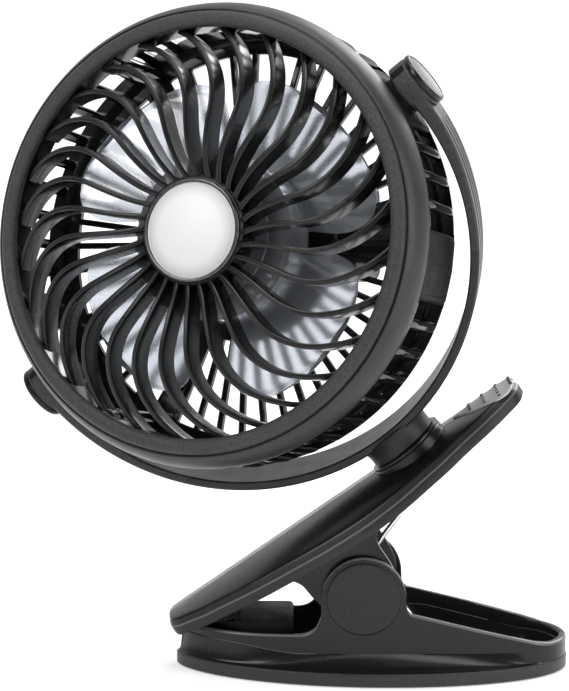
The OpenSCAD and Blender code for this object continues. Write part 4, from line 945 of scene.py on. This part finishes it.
def concave(share):
    """A ring of the hollow slope between the flange and the tub."""
    out = []
    for near_edge, a, b in zip(base_inset(0.6), base_inset(1.9), tub_loop(0)):
        a = tuple(blend(p, q, smooth((-40 - a[0]) / 14)) for p, q in zip(a, near_edge))
        spare = smooth((Vector(a).length - Vector(b).length) / 1.2)
        foot = (blend(b[0], a[0], spare), blend(b[1], a[1], spare))
        out.append((blend(foot[0], b[0], share), blend(foot[1], b[1], share),
                    blend(FLANGE + 0.45, slope_top(b[0]), share ** 2.6)))
    return out


def level(loop, height, drop=0.0):
    """A loop at one height, or at a height that depends on x, less a drop."""
    return [(x, y, (height(x) if callable(height) else height) - drop) for x, y in loop]


def shut(z, shares):
    """Rings that close the underside or the floor over the middle."""
    loop = base_inset(0.5) if z == 0 else tub_loop(TUB_WALL + 1.5)
    return [[(x, y * (1 - s), z) for x, y in loop] for s in shares]


base_rings = shut(0.0, (0.999, 0.5)) + [level(base_inset(0.5), 0.0)]
base_rings += [level(BASE_LOOP, z) for z in (0.45, 0.8, FLANGE - 0.4, FLANGE - 0.1)]
base_rings += [level(base_inset(0.15), FLANGE + 0.15), level(base_inset(0.5), FLANGE + 0.3)]
base_rings += [concave(s) for s in (0.0, 0.15, 0.3, 0.45, 0.6, 0.75, 0.88, 0.96, 1.0)]
OUTSIDE = ((0, slope_top, -0.15), (0, slope_top, -0.6), (0, tub_top, 1.2), (0, tub_top, 0.75),
           (0.12, tub_top, 0.3), (0.5, tub_top, 0))
INSIDE = ((1.6, tub_top, 0), (2.0, tub_top, 0.3), (TUB_WALL, tub_top, 0.7), (TUB_WALL, ledge, 0),
          (TUB_WALL + 0.7, ledge, 0.1), (TUB_WALL + 0.8, ledge, 0.5),
          (TUB_WALL + 0.9, FLOOR, -0.8), (TUB_WALL + 1.5, FLOOR, 0))
for loop, steps in ((band_loop, OUTSIDE), (tub_loop, INSIDE)):
    base_rings += [level(loop(shrink), height, drop) for shrink, height, drop in steps]
base = skin("base_shell", base_rings + shut(FLOOR, (0.5, 0.999)), WORLD, caps=False, sharp=40)
settle(base, "base", "black_shell", [SMOOTH, RIM_BAND, PAINTED_EDGE_HIGHLIGHT], "lower_arm")


# The flange takes the grained band colour; the upward faces of the tub's floor and low ledge take it too, as
# a painted sheen
def on_flange_or_floor_sheen(p, n):
    return p.z < FLANGE + 0.3 or n.z > 0.7 and 12 < p.x < 59.5 and abs(p.y) < 15 and 1 < p.z < 9.2


# Painted highlight: the tub's rim bevel, the inner ledge's edge and the line above the hollow slope take the
# pale edge colour
def on_base_highlight_line(p, n):
    on_rim = 0.02 < tub_top(p.x) - p.z < 0.55 and n.z > 0.2 and n.x * p.x + n.y * p.y > 0
    on_ledge = p.x > 12 and p.z < 15.3 and n.z > 0.7 and 15.3 < abs(p.y) < 16.5
    on_band = p.x < -17 and abs(p.z - slope_top(p.x) - 0.07) < 0.12 and n.z > 0.3
    return on_rim or on_ledge or on_band


paint(base, 1, on_flange_or_floor_sheen)
paint(base, 2, on_base_highlight_line)

cover_disc = rounded([(0, 17.3), (11.85, 17.3), (11.85, 18.35, 0.2), (11.45, 18.95, 0.3), (10.9, 19.0, 0.4),
                      (0, 19.0)], 4)
cover_seat = rounded([(11.9, 18.3), (12.3, 18.3), (12.3, 18.58, 0.12), (11.9, 18.56)], 2)
covers = []
for s in (-90, 90):
    covers.append(revolve(f"cover_{s}", cover_disc, HINGE_FRAME @ turn("X", s), 96))
    covers.append(revolve(f"seat_{s}", cover_seat, HINGE_FRAME @ turn("X", s), 96))
settle(join("hinge_discs", covers), "base", "black_shell", SATIN, "hinge_covers")


# ---- jaw pads
def jaw_line(x):
    return blend(PAD_TOP0, PAD_TOP1, min((x - PAD_X0) / (JAW_X1 - PAD_X0), 1))


def jaw_face(x, sign, lift=0.0):
    """A shallow cross groove every 1.5 mm along the line on which the pads meet."""
    return jaw_line(x) + lift + sign * 0.35 * max(0.0, math.cos(2 * math.pi * (x - PAD_X0 - 1.0) / 1.5)) ** 3


XJ = [blend(PAD_X0 + 0.3, JAW_X1 - 0.6, i / 72) for i in range(73)]
outline = [(x, jaw_face(x, -1)) for x in XJ]
outline += rounded([(JAW_X1, PAD_TOP1), (PAD_X1, PAD_TOP1, 2.0), (PAD_X1, FLOOR)], 6, closed=False)
lower_pad = plate("lower_pad", outline + [(PAD_X0 + 0.3, FLOOR)], -12.9, 12.9, WORLD, 0.5, 3)
boolean(lower_pad, [prism("pad_limit", tub_loop(TUB_WALL + 0.95), -1, 30)], "INTERSECT")
settle(lower_pad, "base", "pad_rubber", RUBBER, "lower_jaw_pad")
outline = [(x, jaw_face(x, 1, 0.3)) for x in XJ]
outline += [(x, jaw_line(x) + UPPER_PAD_T) for x in (XJ[-1], XJ[0])]
upper_pad = plate("upper_pad", outline, -10.4, 10.4, WORLD, 0.3, 2)
boolean(upper_pad, [prism("pad_limit", inset_loop(ARM_LOOP, 3.0, *ARM_LINE), -20, 60, ARM)], "INTERSECT")
settle(upper_pad, "arm", "pad_rubber", RUBBER, "upper_jaw_pad")

# ---- torsion spring
COIL_R, WIRE_D, TURNS = 5.5, 1.7, 8
UP, DOWN = SLOPE + 18.9, -53.0  # the directions of its two legs
HALF = (TURNS + 0.4) * (WIRE_D + 0.15) / 2


def direction(angle):
    return Vector((math.cos(math.radians(angle)), 0, math.sin(math.radians(angle))))


def coil_at(angle, y):
    return direction(angle) * COIL_R + Vector((0, y, 0))


start_angle, end_angle = UP + 90, DOWN + 90 - 360 * TURNS
leg_down = (HINGE.z + coil_at(end_angle, 0).z - FLOOR - 0.6) / -direction(DOWN).z
path = [coil_at(start_angle, -HALF) + direction(UP) * d for d in (33, 32.6, 24, 16, 8, 3)]
path += [coil_at(blend(start_angle, end_angle, i / 480), blend(-HALF, HALF, i / 480)) for i in range(481)]
path += [coil_at(end_angle, HALF) + direction(DOWN) * d for d in (3, 8, 16, 24, leg_down - 0.3, leg_down)]
WIRE_ANGLES = [2 * math.pi * k / 14 for k in range(14)]
wire = []
for i, p in enumerate(path):
    d = (path[min(i + 1, len(path) - 1)] - path[max(i - 1, 0)]).normalized()
    v = (Vector((0, 1, 0)) - d * d.y).normalized()
    w = d.cross(v)
    r = WIRE_D / 2 * (0.75 if i in (0, len(path) - 1) else 1)
    wire.append([tuple(p + (v * math.cos(a) + w * math.sin(a)) * r) for a in WIRE_ANGLES])
spring = skin("spring_wire", wire, HINGE_FRAME, sharp=60)
spring.data.materials.append(WIRE)
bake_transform(spring)
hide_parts("torsion_spring")

# ---- CAD nodes that stay
KEPT = {"motor_shaft": STEEL, "motor_can": CAN, "motor_bracket": CAN, "motor_screws": STEEL,
        "grille_screws": STEEL, "cover_screws": STEEL, "battery_cell": WRAP, "battery_contacts": BRASS,
        "circuit_board": BOARD, "button_switch": GLOSS, "pivot_screws": STEEL, "pivot_washers": NYLON,
        "swivel_screw": STEEL, "swivel_washer": STEEL, "hinge_pin": STEEL}
for node, material in KEPT.items():
    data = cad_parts[node].data
    data.materials.clear()
    data.materials.append(material)

# ---- floor, light and camera
FLOOR_HALF, FLOOR_Z = 40, -0.0003  # metres
floor_mesh = bpy.data.meshes.new("floor")
floor_corners = [(x * FLOOR_HALF, y * FLOOR_HALF, FLOOR_Z) for x, y in ((-1, -1), (1, -1), (1, 1), (-1, 1))]
floor_mesh.from_pydata(floor_corners, [], [(0, 1, 2, 3)])
floor = add_object("floor", floor_mesh)


def ray_is(tree, *kinds):
    """1 for a ray of any of these kinds, otherwise 0."""
    path_kinds = add_node(tree, "LightPath").outputs
    found = path_kinds[kinds[0]]
    for kind in kinds[1:]:
        found = maximum(tree, found, path_kinds[kind])
    return found


# To the camera, to reflections and through clear plastic the floor glows up to white away from the object
pale, tree, shader = nodes_of("pale_floor")
feed(tree, shader, {"Base Color": (0.86, 0.86, 0.86, 1), "Roughness": 0.75, "Specular IOR Level": 0.2})
spot = add_node(tree, "NewGeometry").outputs["Position"]
distance = add_node(tree, "VectorMath", {0: spot}, operation="LENGTH").outputs["Value"]
glow = add_node(tree, "Emission", {"Strength": remap(tree, distance, 0.25, 1.3, 0.45, 0.97)})
none = add_node(tree, "Emission", {"Strength": 0.0})
seen = ray_is(tree, "Is Camera Ray", "Is Glossy Ray", "Is Transmission Ray")
pick = add_node(tree, "MixShader", {0: seen, 1: none.outputs[0], 2: glow.outputs[0]})
total = add_node(tree, "AddShader", {0: shader.outputs[0], 1: pick.outputs[0]})
feed(tree, tree.nodes["Material Output"], {"Surface": total.outputs[0]})
floor_mesh.materials.append(pale)

# Reflections see a bright backdrop behind the object, a strip overhead and a dim studio elsewhere
world = bpy.data.worlds.new("studio")
bpy.context.scene.world = world
world.use_nodes = True
tree = world.node_tree
plain = remap(tree, ray_is(tree, "Is Camera Ray", "Is Transmission Ray"), 0.0, 1.0, 0.22, 1.0)
heading = add_node(tree, "TexCoord").outputs["Generated"]
parts = add_node(tree, "SeparateXYZ", {0: heading}).outputs
behind = remap(tree, parts["Y"], -0.1, 0.6, 0.06, 0.8, "SMOOTHSTEP")
overhead = remap(tree, parts["Z"], 0.88, 0.97, 0.0, 1.3, "SMOOTHSTEP")
shown = add_node(tree, "Mix", {"Factor": ray_is(tree, "Is Glossy Ray"), 2: plain,
                                         3: maximum(tree, behind, overhead)}, data_type="FLOAT")
feed(tree, tree.nodes["Background"], {"Color": (1, 1, 1, 1), "Strength": shown.outputs[0]})


def lamp(name, at, size, watts, size_y=None):
    data = bpy.data.lights.new(name, "AREA")
    data.shape, data.size, data.size_y = "RECTANGLE", size, size_y or size
    data.energy = watts
    obj = add_object(name, data)
    obj.location = at
    obj.rotation_mode = "QUATERNION"
    obj.rotation_quaternion = (LAMP_AIM - Vector(at)).to_track_quat("-Z", "Y")


LAMP_AIM = Vector((-0.03, 0, 0.11))
lamp("key", (-0.75, -0.75, 0.85), 0.55, 7.2)
lamp("fill", (0.85, -0.55, 0.45), 0.5, 5.2, 0.8)
lamp("rim_light", (0.5, 0.75, 0.7), 0.6, 6)
lamp("top", (-0.05, -0.1, 1.1), 0.7, 6)

SENSOR, FOCAL_PX, TALL_PX = 36.0, 2600, 691  # sensor in mm; lens and picture height in pixels
camera_data = bpy.data.cameras.new("camera")
camera_data.sensor_width, camera_data.lens = SENSOR, FOCAL_PX * SENSOR / TALL_PX
camera_data.clip_start, camera_data.clip_end = 0.01, 50
camera = add_object("camera", camera_data)
camera.location = Vector((-28.05, -812.1, 239.65)) * MM
camera.rotation_euler = (math.radians(90 - 9.5), 0, 0)
bpy.context.scene.camera = camera
bpy.context.scene.view_settings.view_transform = "Standard"
